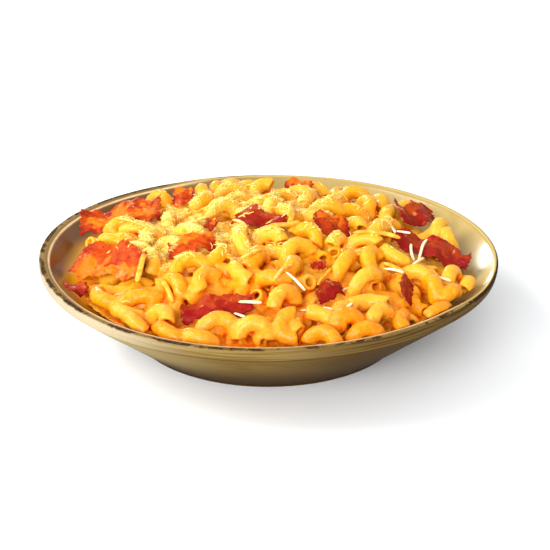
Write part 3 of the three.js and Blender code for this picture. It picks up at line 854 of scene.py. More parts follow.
# A layer of noodles on a spiral that goes spread far out, each lifted by a draw from the range lift.
Layer = namedtuple("Layer", "spots spread lift spacing seed")
WALL_LAYER = Layer(150, 103, (0.0, 2.2), 8.6, 29)
MIDDLE_LAYER = Layer(260, 96, (-1.8, 0.6), 7.2, 11)
EDGE_LAYER = Layer(260, 97, (-4.0, -1.5), 6.0, 17)
BOTTOM_LAYER = Layer(190, 96, (-7.0, -4.6), 0, 5)
UNDER_BACON_LIFT = -5.2  # of a noodle that is laid flat under a piece of bacon


def chance(item, question):
    """Repeatable draw between 0 and 1."""
    draw = math.sin(item * 12.9898 + question * 78.233) * 43758.5453
    return draw - math.floor(draw)


def noodle_frame(noodle):
    """Rotation and centre of a noodle: rolled by lean, tipped by pitch, then turned by yaw."""
    (cy, cp, cl), (sy, sp, sl) = [f(np.radians(noodle[3:6])) for f in (np.cos, np.sin)]
    turn_z = np.array([[cy, -sy, 0], [sy, cy, 0], [0, 0, 1]])
    turn_y = np.array([[cp, 0, -sp], [0, 1, 0], [sp, 0, cp]])
    turn_x = np.array([[1, 0, 0], [0, cl, -sl], [0, sl, cl]])
    centre = np.array([noodle.x, noodle.y, ground_height(noodle.x, noodle.y) + noodle.lift])
    return turn_z @ turn_y @ turn_x, centre


def axis_offset(noodle):
    """Distance from the noodle's middle to the centre of its bend."""
    return noodle.bend * (1 + math.cos(noodle.length / noodle.bend / 2)) / 2


def centre_line(noodle, count=5):
    """Points on the arc of the noodle's axis."""
    turn, centre = noodle_frame(noodle)
    angle = np.linspace(-0.5, 0.5, count) * noodle.length / noodle.bend
    x = noodle.bend * np.sin(angle)
    y = noodle.bend * np.cos(angle) - axis_offset(noodle)
    return np.stack([x, y, 0 * x], axis=1) @ turn.T + centre


def moved_inside(noodle):
    """The noodle moved towards the middle until it clears the sloping wall."""
    points = centre_line(noodle)
    across = (NOODLE_RADIUS + WALL_CLEARANCE) / WALL_SINE
    room = inside_radius(points[:, 2]) * hand_thrown(points[:, 0], points[:, 1]) - across
    excess = max(0.0, (np.hypot(points[:, 0], points[:, 1]) - room).max())
    distance = math.hypot(noodle.x, noodle.y)
    scale = (distance - excess) / distance
    return noodle._replace(x=noodle.x * scale, y=noodle.y * scale)


def crosses_bacon(noodle):
    """Whether a noodle comes too near to a piece of bacon."""
    reach = NOODLE_RADIUS + BACON_THICKNESS / 2 + BACON_CLEARANCE
    gaps = centre_line(noodle)[:, None, :] - bacon_samples()[None, :, :]
    return (gaps**2).sum(axis=-1).min() < reach**2


def crowded(noodle, others, spacing):
    """Whether the middle of a noodle is too near to that of another."""
    return any(math.hypot(noodle.x - other.x, noodle.y - other.y) < spacing for other in others)


def drawn_noodle(spot, attempt):
    """One draw of place, pose and size for a spot of a sunflower spiral over the dome."""
    draw = [chance(spot, 10 * attempt + question) for question in range(8)]
    radius = NOODLE_SPREAD * math.sqrt((spot + 0.2 + 0.6 * draw[0]) / NOODLE_SPOTS)
    angle = spot * GOLDEN_ANGLE + 0.2 * (attempt + 1) * (draw[1] - 0.5)
    x, y = radius * math.cos(angle), radius * math.sin(angle)
    return moved_inside(Noodle(
        x + float(drawn_back(x, y)), y, 2.2 + 1.8 * draw[2],
        360 * draw[3], 50 * (draw[4] - 0.5), 20 + 130 * draw[5],
        6.2 + 3.5 * draw[6], 18 + 4 * draw[7],
    ))


def top_noodles():
    """The listed noodles, then those of the spiral that keep clear of them and of the bacon."""
    laid = [noodle for noodle in map(moved_inside, LAID_NOODLES) if not crosses_bacon(noodle)]
    for spot in range(NOODLE_SPOTS):
        for attempt in range(NOODLE_TRIES):
            noodle = drawn_noodle(spot, attempt)
            if not crowded(noodle, laid, NOODLE_SPACING) and not crosses_bacon(noodle):
                laid.append(noodle)
                break
    return laid


def lower_noodles(layer, laid):
    """Flatter noodles of a deeper layer, on a spiral of their own, their open ends mostly outwards."""
    random = np.random.default_rng(layer.seed)
    made = []
    for spot in range(layer.spots):
        radius = layer.spread * math.sqrt((spot + random.random()) / layer.spots)
        angle = spot * GOLDEN_ANGLE + layer.seed + 0.3 * random.random()
        x, y = radius * math.cos(angle), radius * math.sin(angle)
        facing = math.degrees(angle) + 90
        noodle = moved_inside(Noodle(
            x + float(drawn_back(x, y)), y, random.uniform(*layer.lift),
            facing + random.uniform(-70, 70), random.uniform(-14, 14), random.uniform(-45, 35),
            random.uniform(5.8, 10), random.uniform(17, 22),
        ))
        if crowded(noodle, laid + made, layer.spacing):
            continue
        if crosses_bacon(noodle):
            noodle = noodle._replace(lift=UNDER_BACON_LIFT, pitch=0, lean=0)
            if crosses_bacon(noodle):
                continue
        made.append(noodle)
    return made


def beside_wall(noodle):
    """Whether a noodle lies in the strip along the wall at the front and the right."""
    outermost = math.hypot(noodle.x, noodle.y) > 84
    return outermost and (noodle.y < -40 or noodle.x > 40 and noodle.y < 40)


def heap_noodles():
    """Every noodle: the top ones, those in the gap along the wall, and three layers under them."""
    upper = top_noodles()
    along_wall = [noodle for noodle in lower_noodles(WALL_LAYER, upper) if beside_wall(noodle)]
    pressed = [noodle for noodle in EDGE_NOODLES if not crosses_bacon(noodle)]
    upper = upper + pressed + along_wall
    middle = lower_noodles(MIDDLE_LAYER, upper)
    edge = lower_noodles(EDGE_LAYER, upper + middle)
    return upper + middle + edge + lower_noodles(BOTTOM_LAYER, [])


# ---------------------------------------------------------------- the heap as a distance field

FLESH_RADIUS = 3.65  # a noodle without the sauce on it
BORE_RADIUS = 2.05
BORE_DEPTH = 8.0
END_ROUNDING = 0.7
FIELD_MARGIN = 4.0  # how far past its wall a noodle is felt
GROUP_OVERLAP = 0.3  # neighbouring pieces of the heap reach this far into each other
SHELL_DEPTH = 6.5  # thickness of the skinned layer under the sauce's top
HEAP_PARTS = 6  # the heap is meshed in equal sectors of a turn
FIELD_LOW = (-108.0, -108.0, 25.0)
FIELD_HIGH = (108.0, 108.0, 65.0)
FAR_OFF = (7.0, 9.0)  # distance to a part's noodles, in its sector and elsewhere, where none is near

Heap = namedtuple("Heap", "low step field tint groups top")


def rounded_max(first, second, radius):
    """The larger of two distances, with the edge where they meet rounded to a radius."""
    outside = np.hypot(np.maximum(first + radius, 0), np.maximum(second + radius, 0))
    return outside + np.minimum(np.maximum(first, second) + radius, 0) - radius


def noodle_distance(noodle, x, y, z, swell):
    """Distance to a bent tube: a stretch of a torus, cut square at both ends and bored there."""
    turn, centre = noodle_frame(noodle)
    half = noodle.length / noodle.bend / 2
    local = [x * turn[0, k] + y * turn[1, k] + z * turn[2, k] - centre @ turn[:, k] for k in range(3)]
    out = local[1] + axis_offset(noodle)
    reach = np.hypot(local[0], out)
    ring = reach - noodle.bend
    tube = np.hypot(ring, local[2] * (1 + 0.08 * swell))
    beyond = np.abs(local[0]) * math.cos(half) - out * math.sin(half)
    girth = FLESH_RADIUS * (1 + 0.05 * swell * local[0] / np.maximum(reach, 1))
    body = rounded_max(tube - girth, beyond, END_ROUNDING)
    bore = np.maximum(tube - BORE_RADIUS, -(beyond + BORE_DEPTH))
    return np.maximum(body, -bore)


def sauciness(x, y):
    """How thickly the sauce lies: most at the front left, little at the back and right."""
    front_left = np.exp(-(((x + 35) / 45) ** 2 + ((y + 80) / 30) ** 2))
    right = np.exp(-(((x - 60) / 45) ** 2 + ((y + 40) / 60) ** 2))
    return np.clip(0.22 + 0.35 * front_left - 0.2 * right, 0, 1)


def part_of(x, y):
    """Number of the sector that a place is in."""
    turn = np.arctan2(y, x) / (2 * np.pi) % 1
    return np.minimum((turn * HEAP_PARTS).astype(int), HEAP_PARTS - 1)


@lru_cache
def heap_field(step, sauce_depth):
    """Distance field of the whole heap, cut to the inside of the bowl and to a layer under the sauce's top.

    It is -s * log of the sum of exp(-distance / s) over the sauce and the noodles. The softness s is
    larger where there is more sauce, which melts the noodles into each other there. The tint of a
    place is the mean of its noodles' draws with the same weights, and groups hold the distance to the
    nearest noodle of each sector.
    """
    low = np.array(FIELD_LOW)
    shape = np.ceil((np.array(FIELD_HIGH) - low) / step).astype(int) + 1
    axes = [(low[k] + step * np.arange(shape[k])).astype(np.float32) for k in range(3)]
    x, y, z = axes[0][:, None, None], axes[1][None, :, None], axes[2][None, None, :]
    ground = ground_height(x, y).astype(np.float32)
    sauce = sauciness(x, y).astype(np.float32)
    softness = 0.22 + 0.6 * sauce
    radius = np.hypot(x, y)
    sauce_top = ground - sauce_depth * (1 - 0.75 * sauce) * (1 + 0.2 * smoothstep(radius, 76, 94))
    sauce_top = sauce_top + 4 * smoothstep(radius, 88, 99) - 1.2 * drawn_back(x, y).astype(np.float32)
    weight = np.exp(-np.clip(z - sauce_top, -9, 30) / softness)
    tint = 0.35 * weight
    home = part_of(x, y)
    groups = [np.where(home == k, *FAR_OFF) * np.ones(shape, np.float32) for k in range(HEAP_PARTS)]

    for number, noodle in enumerate(heap_noodles()):
        line = centre_line(noodle, 9)
        reach = NOODLE_RADIUS + FIELD_MARGIN
        first = np.maximum(np.floor((line.min(axis=0) - reach - low) / step).astype(int), 0)
        last = np.minimum(np.ceil((line.max(axis=0) + reach - low) / step).astype(int), shape)
        block = tuple(slice(a, b) for a, b in zip(first, last))
        flat = (block[0], block[1], slice(None))
        distance = noodle_distance(
            noodle, x[block[0]], y[:, block[1]], z[:, :, block[2]], 2 * chance(number, 3) - 1
        ).astype(np.float32)
        share = np.exp(-np.minimum(distance, 30) / softness[flat])
        weight[block] += share
        tint[block] += share * chance(number, 7)
        group = groups[int(part_of(np.float64(noodle.x), np.float64(noodle.y)))]
        group[block] = np.minimum(group[block], distance)

    tint /= weight
    field = -softness * np.log(np.maximum(weight, 1e-30))
    wall = (radius - inside_radius(z) * hand_thrown(x, y)) * WALL_SINE
    field = np.maximum(field, wall + CONTACT_GAP)
    field = np.maximum(field, sauce_top - SHELL_DEPTH - z).astype(np.float32)
    return Heap(low, step, field, tint, groups, top_map(field, axes[2]))


def top_map(field, heights):
    """Height of the highest point of the heap over each place."""
    inside = field < 0
    highest = field.shape[2] - 1 - np.argmax(inside[:, :, ::-1], axis=2)
    highest = np.clip(highest, 0, field.shape[2] - 2)
    below = np.take_along_axis(field, highest[..., None], axis=2)[..., 0]
    above = np.take_along_axis(field, highest[..., None] + 1, axis=2)[..., 0]
    share = np.clip(below / np.minimum(below - above, -1e-6), 0, 1)
    found = heights[highest] + share * (heights[1] - heights[0])
    return np.where(inside.any(axis=2), found, heights[0])


def sampled(volume, heap, points):
    """Value between grid nodes: the eight nodes around a point, each weighted by nearness."""
    place = (points - heap.low) / heap.step
    base = np.clip(np.floor(place).astype(int), 0, np.array(volume.shape) - 2)
    part = np.clip(place - base, 0, 1)
    total = np.zeros(len(points))
    for corner in np.ndindex(2, 2, 2):
        nearness = np.where(corner, part, 1 - part).prod(axis=1)
        total += nearness * volume[tuple((base + corner).T)]
    return total


def slope(volume, heap, points):
    """Direction in which a field rises, by differences one grid step apart."""
    shifts = np.eye(3) * heap.step * 0.7
    rise = [sampled(volume, heap, points + shift) - sampled(volume, heap, points - shift) for shift in shifts]
    rise = np.stack(rise, axis=1)
    return rise / np.maximum(np.linalg.norm(rise, axis=1, keepdims=True), 1e-9)


def skin(field, low, step):
    """The surface where a field is 0.

    A cell that it crosses gets one point, the mean of the crossings on the cell's edges.
    A grid edge that changes sign gets a quad between the four cells around it.
    """
    inside = field < 0
    filled = np.zeros(np.array(field.shape) - 1, dtype=np.uint8)
    shape = np.array(field.shape)
    for corner in np.ndindex(2, 2, 2):
        filled += inside[tuple(slice(c, n - 1 + c) for c, n in zip(corner, shape))]
    cells = np.argwhere((filled > 0) & (filled < 8))
    number = np.full(filled.shape, -1, dtype=np.int32)
    number[tuple(cells.T)] = np.arange(len(cells))
    total = np.zeros((len(cells), 3))
    hits = np.zeros(len(cells))
    for axis in range(3):
        for corner in np.ndindex(2, 2, 2):
            if corner[axis]:
                continue
            ahead = np.array(corner)
            ahead[axis] = 1
            a = field[tuple((cells + corner).T)]
            b = field[tuple((cells + ahead).T)]
            crossed = (a < 0) != (b < 0)
            share = np.where(crossed, a / np.where(crossed, a - b, 1), 0)
            total += np.where(crossed, 1, 0)[:, None] * (corner + share[:, None] * (ahead - corner))
            hits += crossed
    points = low + step * (cells + total / hits[:, None])

    quads = []
    for axis in range(3):
        side, up = (axis + 1) % 3, (axis + 2) % 3
        start = [slice(1, -1)] * 3
        start[axis] = slice(0, -1)
        end = list(start)
        end[axis] = slice(1, None)
        changed = inside[tuple(start)] != inside[tuple(end)]
        nodes = np.argwhere(changed) + [0 if k == axis else 1 for k in range(3)]
        step_side, step_up = np.eye(3, dtype=int)[side], np.eye(3, dtype=int)[up]
        around = [nodes, nodes - step_side, nodes - step_side - step_up, nodes - step_up]
        loop = np.stack([number[tuple(cell.T)] for cell in around], axis=1)
        leaving = inside[tuple(nodes.T)]
        quads.append(np.where(leaving[:, None], loop, loop[:, ::-1]))
    return points, np.concatenate(quads)


def ripples(points, size, seed, waves=7):
    """Uneven relief between about -1 and 1: sines of about the given length in several directions."""
    random = np.random.default_rng(seed)
    total = np.zeros(len(points))
    for _ in range(waves):
        direction = random.normal(size=3)
        direction *= 2 * np.pi / (size * random.uniform(0.7, 1.4) * np.linalg.norm(direction))
        total += np.sin(points @ direction + random.uniform(0, 2 * np.pi))
    return total / math.sqrt(waves)


def openness(heap, points, normals):
    """How free a place is: the mean of the field over the distance, some way out along the normal."""
    shares = [np.clip(sampled(heap.field, heap, points + normals * d) / d, 0, 1) for d in (1.2, 2.4, 3.8)]
    return np.mean(shares, axis=0)


def heap_part(heap, number):
    """One part of the heap: the field cut where another part's noodles are nearer."""
    others = np.min([heap.groups[k] for k in range(HEAP_PARTS) if k != number], axis=0)
    field = np.maximum(heap.field, (heap.groups[number] - others) / 2 - GROUP_OVERLAP)
    points, quads = skin(field, heap.low, heap.step)
    normals = slope(heap.field, heap, points)
    outer = np.abs(sampled(heap.field, heap, points)) < 0.4 * heap.step
    relief = 0.20 * ripples(points, 6.5, 3) + 0.08 * ripples(points, 2.8, 4)
    points = points + normals * (relief * outer)[:, None]
    return points, quads, normals


def macaroni_finish(settings):
    """Moist pasta: golden on top, with painted shade of deep orange in the gaps, glossy with melted cheese.
    """
    finish = Finish("cheesy_macaroni", specular_ior_level=0.2, subsurface_weight=0.4, subsurface_scale=0.003)
    finish.set(subsurface_radius=(1.0, 0.45, 0.06), coat_weight=0.07, coat_roughness=0.08)
    free = finish.value("open")
    patch = finish.noise(16, detail=3)
    mottle = finish.noise(2.2, detail=4, roughness=0.6)
    grains = finish.noise(3.2, detail=4, roughness=0.6, distortion=0.5)
    golden = finish.tinted(settings.golden, settings.front, finish.axes()["Y"], -0.025, -0.085, 0.8)
    colour = finish.tinted(golden, settings.pale, finish.value("tint"), 0.1, 1.0, 0.6)
    colour = finish.tinted(colour, golden, patch, 0.35, 0.7, 0.4)
    # painted shade: deeper orange where a place is less open, in the gaps between noodles
    colour = finish.tinted(colour, settings.painted_gap_shade, free, 0.6, 0.1, 0.95)
    colour = finish.tinted(colour, settings.pale, mottle, 0.5, 0.72, 0.45)
    strewn = finish.times(finish.value("cheese"), finish.span(grains, 0.40, 0.58))
    strewn = finish.times(strewn, finish.span(free, 0.2, 0.6))
    colour = finish.blend(finish.times(strewn, 0.75), colour, settings.melted)
    smooth = finish.bump(finish.noise(2.8, detail=3), 0.35)
    finish.set(
        base_color=colour,
        roughness=finish.span(mottle, 0.35, 0.65, 0.24, 0.42),
        normal=finish.bump(finish.noise(0.9, detail=3), 0.07, under=smooth),
    )
    return finish.material


def core_profile(sauce_depth):
    """Outline of the filling under the noodles: the inside of the bowl, a contact gap clear, and the dome."""
    bed = [(r - CONTACT_GAP, inside_height(r) + CONTACT_GAP) for r in (20, 35, 50, 60, 67, 74, 80, 86, 90)]
    rise = HEAP_PEAK_HEIGHT - HEAP_EDGE_HEIGHT
    dome = [(r, HEAP_EDGE_HEIGHT - sauce_depth - 3 + rise * (1 - (r / HEAP_EDGE_RADIUS) ** 2))
            for r in (86, 75, 60, 45, 30, 15, 0)]
    return np.array([(0, FLOOR_TOP + CONTACT_GAP), *bed, *dome], dtype=float)


class MESH_OT_macaroni_heap(bpy.types.Operator):
    """Make the heap of macaroni in its sauce"""

    bl_idname = "mesh.macaroni_heap"
    bl_label = "Macaroni heap"

    def execute(self, context):
        settings = context.scene.macaroni_settings
        material = macaroni_finish(settings)
        heap = heap_field(settings.voxel, settings.sauce_depth)
        for number in range(HEAP_PARTS):
            points, quads, normals = heap_part(heap, number)
            mesh = new_mesh(f"macaroni_{number + 1}", points, quads)
            add_values(
                mesh,
                tint=sampled(heap.tint, heap, points),
                open=openness(heap, points, normals),
                cheese=crumb_density(points[:, 0], points[:, 1]),
            )
            add_piece(mesh, material, ["macaroni"])
        points, quads, triangles = turned(core_profile(settings.sauce_depth), 96)
        mesh = new_mesh("macaroni_filling", points, quads, triangles)
        nothing = np.zeros(len(points))
        add_values(mesh, tint=nothing, open=nothing, cheese=nothing)
        add_piece(mesh, material, ["macaroni"])
        return {"FINISHED"}


# ---------------------------------------------------------------- grated cheese

MAP_REACH = 120  # squares of the map of the bacon from the middle to each side
CRUMB_TRIES = 40  # places drawn for each crumb
CRUMB_STEEPEST = 2.2  # rise over run on which a crumb still lies


@lru_cache
def lying_surface(step, sauce_depth):
    """Height map of all that cheese can lie on: the heap, raised where bacon covers it."""
    heap = heap_field(step, sauce_depth)
    top = heap.top.copy()
    u, v = np.meshgrid(np.linspace(-1, 1, 160), np.linspace(-1, 1, 90), indexing="ij")
    for piece in BACON:
        points = fried_surface(piece, u, v).reshape(-1, 3)
        place = np.round((points[:, :2] - heap.low[:2]) / heap.step).astype(int)
        np.maximum.at(top, tuple(place.T), points[:, 2] + BACON_THICKNESS * 0.45)
    return top, heap.low[:2], heap.step


def height_at(surface, x, y):
    """Height between the nodes of a height map."""
    top, low, step = surface
    px = np.clip((x - low[0]) / step, 0, top.shape[0] - 1.001)
    py = np.clip((y - low[1]) / step, 0, top.shape[1] - 1.001)
    i, j = px.astype(int), py.astype(int)
    a, b = px - i, py - j
    near = top[i, j] * (1 - b) + top[i, j + 1] * b
    far = top[i + 1, j] * (1 - b) + top[i + 1, j + 1] * b
    return near * (1 - a) + far * a


def draped(surface, x, y, stiffness):
    """Height of strips over what they lie on: the upper envelope of parabolas, so they bridge the gaps."""
    height = height_at(surface, x, y)
    run = np.hypot(np.diff(x, axis=1, prepend=x[:, :1]), np.diff(y, axis=1, prepend=y[:, :1])).cumsum(axis=1)
    fall = stiffness * (run[:, :, None] - run[:, None, :]) ** 2
    return (height[:, None, :] - fall).max(axis=2)


def strips(surface, shreds, width, thickness, seed, count=15, sides=8):
    """Draped strips: a flattened section carried along each bowed line, both ends closed."""
    random = np.random.default_rng(seed)
    x, y, heading, length = np.array(shreds, dtype=float).T
    share = np.linspace(-0.5, 0.5, count)[None, :]
    along = share * length[:, None]
    bow = random.uniform(-0.05, 0.05, len(shreds))[:, None] * length[:, None]
    kink = random.uniform(-0.02, 0.02, len(shreds))[:, None] * length[:, None]
    aside = bow * np.cos(np.pi * share) + kink * np.sin(2 * np.pi * share)
    angle = np.radians(heading)[:, None]
    px = x[:, None] + along * np.cos(angle) - aside * np.sin(angle)
    py = y[:, None] + along * np.sin(angle) + aside * np.cos(angle)
    pz = draped(surface, px, py, 0.012) + thickness * 0.35
    line = np.stack([px, py, pz], axis=-1)
    tangent = np.gradient(line, axis=1)
    tangent /= np.linalg.norm(tangent, axis=-1, keepdims=True)
    side = np.cross([0, 0, 1], tangent)
    side /= np.linalg.norm(side, axis=-1, keepdims=True)
    up = np.cross(tangent, side)
    roll = random.uniform(-0.5, 0.5, len(shreds))[:, None, None] + 0.5 * share[..., None]
    side, up = side * np.cos(roll) + up * np.sin(roll), up * np.cos(roll) - side * np.sin(roll)
    turn = (np.arange(sides) + 0.5) * 2 * np.pi / sides
    flat = np.sign(np.cos(turn)) * np.abs(np.cos(turn)) ** 0.6
    tall = np.sign(np.sin(turn)) * np.abs(np.sin(turn)) ** 0.6
    taper = (1 - np.abs(2 * share) ** 8 * 0.55) * random.uniform(0.8, 1.2, len(shreds))[:, None]
    wide = (width / 2 * taper)[..., None, None] * flat[None, None, :, None] * side[:, :, None, :]
    high = (thickness / 2 * taper)[..., None, None] * tall[None, None, :, None] * up[:, :, None, :]
    points = (line[:, :, None, :] + wide + high).reshape(-1, 3)
    shell = grid_quads(count, sides, closed=True)
    cap = np.array([[0, k + 1, k] for k in range(1, sides - 1)])
    caps = np.concatenate([cap, (count - 1) * sides + cap[:, ::-1]])
    start = (np.arange(len(shreds)) * count * sides)[:, None, None]
    quads = (shell[None] + start).reshape(-1, 4)
    triangles = (caps[None] + start).reshape(-1, 3)
    return points, quads, triangles


def crumb_density(x, y):
    """Where the finely grated cheese lies, from 0 to 1: thick over the middle and left, thin in front."""
    middle = np.exp(-(((x + 25) / 42) ** 2 + ((y - 8) / 45) ** 2))
    left = 0.8 * np.exp(-(((x + 55) / 30) ** 2 + ((y + 8) / 28) ** 2))
    back = 0.5 * np.exp(-(((x - 15) / 55) ** 2 + ((y - 45) / 30) ** 2))
    right = 0.45 * np.exp(-(((x - 55) / 35) ** 2 + ((y + 10) / 35) ** 2))
    clumps = 0.6 + 0.4 * np.sin(0.21 * x + 1.3 * np.sin(0.13 * y)) * np.sin(0.19 * y + 1.1 * np.sin(0.17 * x))
    rim = 1 - smoothstep(np.hypot(x, y), 88, 101)
    return np.clip(1.25 * (middle + left + back + right) * clumps - 0.25, 0.004, 1) * rim


@lru_cache
def bacon_map():
    """Grid of 1 mm squares over the bowl: 1 where a piece of bacon lies, 0 elsewhere."""
    covered = np.zeros((2 * MAP_REACH, 2 * MAP_REACH))
    u, v = np.meshgrid(np.linspace(-1, 1, 90), np.linspace(-1, 1, 60), indexing="ij")
    for piece in BACON:
        place = np.round(bacon_point(piece, u, v)[..., :2]).astype(int) + MAP_REACH
        covered[tuple(place.reshape(-1, 2).T)] = 1
    return covered


def on_bacon(x, y):
    """1 where a place is on a piece of bacon, 0 elsewhere."""
    return bacon_map()[np.round(x).astype(int) + MAP_REACH, np.round(y).astype(int) + MAP_REACH]


def crumb_mesh(surface, count, seed):
    """Bent grains with a four-sided section: start, middle and end rings, both ends closed.

    Places are drawn by crumb_density, up to count of them, and those on a steep slope are left out.
    """
    random = np.random.default_rng(seed)
    x, y = random.uniform(-100, 100, (2, CRUMB_TRIES * count))
    bare = 1 - 0.98 * on_bacon(x, y)
    kept = np.flatnonzero(random.random(len(x)) < crumb_density(x, y) * bare)[:count]
    x, y = x[kept], y[kept]
    reach = 0.8
    z = height_at(surface, x, y)
    slope_x = (height_at(surface, x + reach, y) - height_at(surface, x - reach, y)) / (2 * reach)
    slope_y = (height_at(surface, x, y + reach) - height_at(surface, x, y - reach)) / (2 * reach)
    flat_enough = np.hypot(slope_x, slope_y) < CRUMB_STEEPEST
    x, y, z, slope_x, slope_y = (v[flat_enough] for v in (x, y, z, slope_x, slope_y))
    normal = np.stack([-slope_x, -slope_y, np.ones(len(x))], axis=1)
    normal /= np.linalg.norm(normal, axis=1, keepdims=True)
    heading = random.uniform(0, 2 * np.pi, len(x))
    along = np.stack([np.cos(heading), np.sin(heading), random.normal(0, 0.35, len(x))], axis=1)
    along -= normal * (along * normal).sum(axis=1, keepdims=True) * 0.8
    along /= np.linalg.norm(along, axis=1, keepdims=True)
    side = np.cross(normal, along)
    side /= np.linalg.norm(side, axis=1, keepdims=True)
    length = random.lognormal(math.log(3.0), 0.45, len(x)).clip(1.2, 9.0)[:, None]
    girth = random.uniform(0.22, 0.45, len(x))[:, None]
    centre = np.stack([x, y, z], axis=1) + normal * girth * random.uniform(-0.2, 0.5, len(x))[:, None]
    rings = []
    for share, thick, arch in ((-0.5, 0.6, 0), (0, 1, 0.16), (0.5, 0.6, 0)):
        for turn in np.pi * np.array([0.15, 0.65, 1.15, 1.65]):
            around = side * math.cos(turn) + normal * math.sin(turn)
            rings.append(centre + along * share * length + side * arch * length + around * girth * thick)
    points = np.stack(rings, axis=1).reshape(-1, 3)
    start = (np.arange(len(x)) * 12)[:, None, None]
    ends = np.array([[0, 3, 2, 1], [8, 9, 10, 11]])
    quads = np.concatenate([grid_quads(3, 4, closed=True), ends])
    return points, (quads[None] + start).reshape(-1, 4)


def cheese_finish(name, colour, paler, roughness):
    """Waxy cheese, a little paler in patches."""
    finish = Finish(name, roughness=roughness, specular_ior_level=0.25)
    finish.set(subsurface_weight=0.2, subsurface_scale=0.0006, subsurface_radius=(1.0, 0.6, 0.25))
    finish.set(
        base_color=finish.tinted(colour, paler, finish.noise(3.0, detail=3), 0.35, 0.7),
        normal=finish.bump(finish.noise(0.7, detail=2), 0.08),
    )
    return finish.material


class MESH_OT_cheese_shreds(bpy.types.Operator):
    """Make the shreds of orange and of white cheese"""

    bl_idname = "mesh.cheese_shreds"
    bl_label = "Cheese shreds"

    def execute(self, context):
        scene = context.scene
        settings = scene.cheese_settings
        surface = lying_surface(scene.macaroni_settings.voxel, scene.macaroni_settings.sauce_depth)
        mesh = new_mesh("cheddar_shreds", *strips(surface, CHEDDAR_SHREDS, 2.3, 1.3, seed=21))
        material = cheese_finish("orange_cheese", settings.cheddar, settings.cheddar_patch, 0.38)
        add_piece(mesh, material)
        mesh = new_mesh("white_shreds", *strips(surface, WHITE_SHREDS, 1.3, 0.9, seed=22))
        material = cheese_finish("white_cheese", settings.white, settings.white_patch, 0.42)
        add_piece(mesh, material)
        return {"FINISHED"}


class MESH_OT_cheese_crumbs(bpy.types.Operator):
    """Make the finely grated cheese strewn over the heap"""

    bl_idname = "mesh.cheese_crumbs"
    bl_label = "Cheese crumbs"

    def execute(self, context):
        scene = context.scene
        settings = scene.cheese_settings
        surface = lying_surface(scene.macaroni_settings.voxel, scene.macaroni_settings.sauce_depth)
        mesh = new_mesh("cheese_crumbs", *crumb_mesh(surface, settings.crumbs, seed=31))
        material = cheese_finish("fine_cheese", settings.crumb, settings.crumb_patch, 0.5)
        add_piece(mesh, material)
        return {"FINISHED"}


# ---------------------------------------------------------------- stage

CAMERA_PLACE = (0, -0.6303, 0.3003)
CAMERA_AIM = (0, 0, 0.01955)
CAMERA_LENS = 88.16
CAMERA_SENSOR = 36
CAMERA_SHIFT = (0.0128, 0.0278)
KEY_PLACE = (-1.05, 0.05, 0.9)
FILL_PLACE = (-0.35, -1.12, 0.5)
WINDOW_PLACE = (-0.25, 0.92, 0.245)
LIGHT_AIM = (0, 0, 0.03)
FLOOR_REACH = 4000  # millimetres from the middle to each side


def aimed(thing, place, aim):
    """Puts a camera or light at a place and turns it towards a point."""
    item = bpy.data.objects.new(thing.name, thing)
    item.location = place
    item.rotation_euler = (Vector(aim) - Vector(place)).to_track_quat("-Z", "Y").to_euler()
    bpy.context.scene.collection.objects.link(item)
    return item


def area_light(name, place, width, height, power, roll=0.0):
    """A rectangular light aimed at the food and rolled by an angle in degrees."""
    light = bpy.data.lights.new(name, "AREA")
    light.shape = "RECTANGLE"
    light.size = width
    light.size_y = height
    light.energy = power
    item = aimed(light, place, LIGHT_AIM)
    item.rotation_euler.rotate_axis("Z", math.radians(roll))


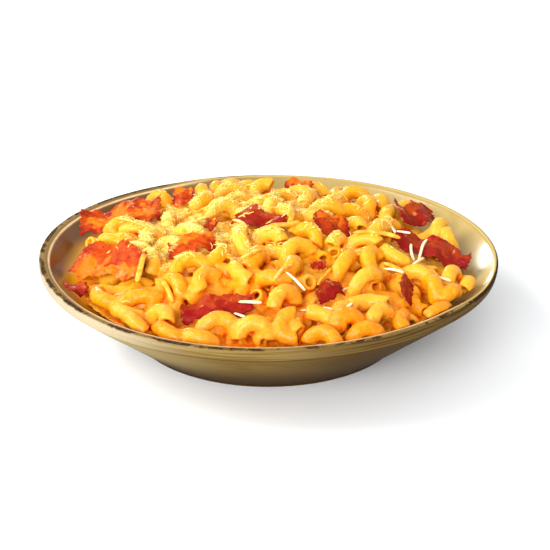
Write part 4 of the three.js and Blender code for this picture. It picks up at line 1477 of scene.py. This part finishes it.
class SCENE_OT_pasta_stage(bpy.types.Operator):
    """Make the floor, the lights and the camera"""

    bl_idname = "scene.pasta_stage"
    bl_label = "Stage"

    def execute(self, context):
        scene = context.scene
        settings = scene.stage_settings
        corners = FLOOR_REACH * np.array([(-1, -1, 0), (1, -1, 0), (1, 1, 0), (-1, 1, 0)], dtype=float)
        mesh = new_mesh("pale_floor", corners, [[0, 1, 2, 3]])
        mesh.materials.append(Finish("pale_floor", base_color=(*settings.floor, 1), roughness=0.7).material)
        floor = bpy.data.objects.new("pale_floor", mesh)
        scene.collection.objects.link(floor)

        area_light("key", KEY_PLACE, 0.9, 0.9, settings.key_power)
        area_light("fill", FILL_PLACE, 0.9, 0.7, settings.fill_power)
        area_light("window", WINDOW_PLACE, 0.08, 0.17, settings.window_power, roll=-45)
        world = bpy.data.worlds.new("soft_sky")
        world.use_nodes = True
        background = world.node_tree.nodes["Background"]
        background.inputs["Color"].default_value = (1, 1, 1, 1)
        background.inputs["Strength"].default_value = settings.sky
        scene.world = world
        scene.view_settings.view_transform = "Standard"

        lens = bpy.data.cameras.new("camera")
        lens.lens = CAMERA_LENS
        lens.sensor_width = CAMERA_SENSOR
        lens.shift_x, lens.shift_y = CAMERA_SHIFT
        scene.camera = aimed(lens, CAMERA_PLACE, CAMERA_AIM)
        return {"FINISHED"}


# ---------------------------------------------------------------- add-on

SETTINGS = {
    "bowl_settings": BowlSettings,
    "macaroni_settings": MacaroniSettings,
    "bacon_settings": BaconSettings,
    "cheese_settings": CheeseSettings,
    "stage_settings": StageSettings,
}
OPERATORS = (
    SCENE_OT_pasta_stage,
    MESH_OT_glazed_bowl,
    MESH_OT_macaroni_heap,
    MESH_OT_bacon_pieces,
    MESH_OT_cheese_shreds,
    MESH_OT_cheese_crumbs,
)


class VIEW3D_PT_pasta_bowl(bpy.types.Panel):
    """Buttons for the pieces of the bowl and its food"""

    bl_idname = "VIEW3D_PT_pasta_bowl"
    bl_label = "Pasta bowl"
    bl_space_type = "VIEW_3D"
    bl_region_type = "UI"
    bl_category = "Pasta bowl"

    def draw(self, context):
        for operator in OPERATORS:
            self.layout.operator(operator.bl_idname)


def register():
    """Gives Blender the settings, the operators and the panel."""
    for settings in SETTINGS.values():
        bpy.utils.register_class(settings)
    for operator in OPERATORS:
        bpy.utils.register_class(operator)
    bpy.utils.register_class(VIEW3D_PT_pasta_bowl)
    for name, settings in SETTINGS.items():
        setattr(bpy.types.Scene, name, bpy.props.PointerProperty(type=settings))


def unregister():
    """Takes them out of Blender again."""
    for name in SETTINGS:
        delattr(bpy.types.Scene, name)
    bpy.utils.unregister_class(VIEW3D_PT_pasta_bowl)
    for operator in reversed(OPERATORS):
        bpy.utils.unregister_class(operator)
    for settings in reversed(SETTINGS.values()):
        bpy.utils.unregister_class(settings)


def main():
    """Makes every piece and the stage."""
    register()
    bpy.ops.scene.pasta_stage()
    bpy.ops.mesh.glazed_bowl()
    bpy.ops.mesh.macaroni_heap()
    bpy.ops.mesh.bacon_pieces()
    bpy.ops.mesh.cheese_shreds()
    bpy.ops.mesh.cheese_crumbs()


if __name__ == "__main__":
    main()
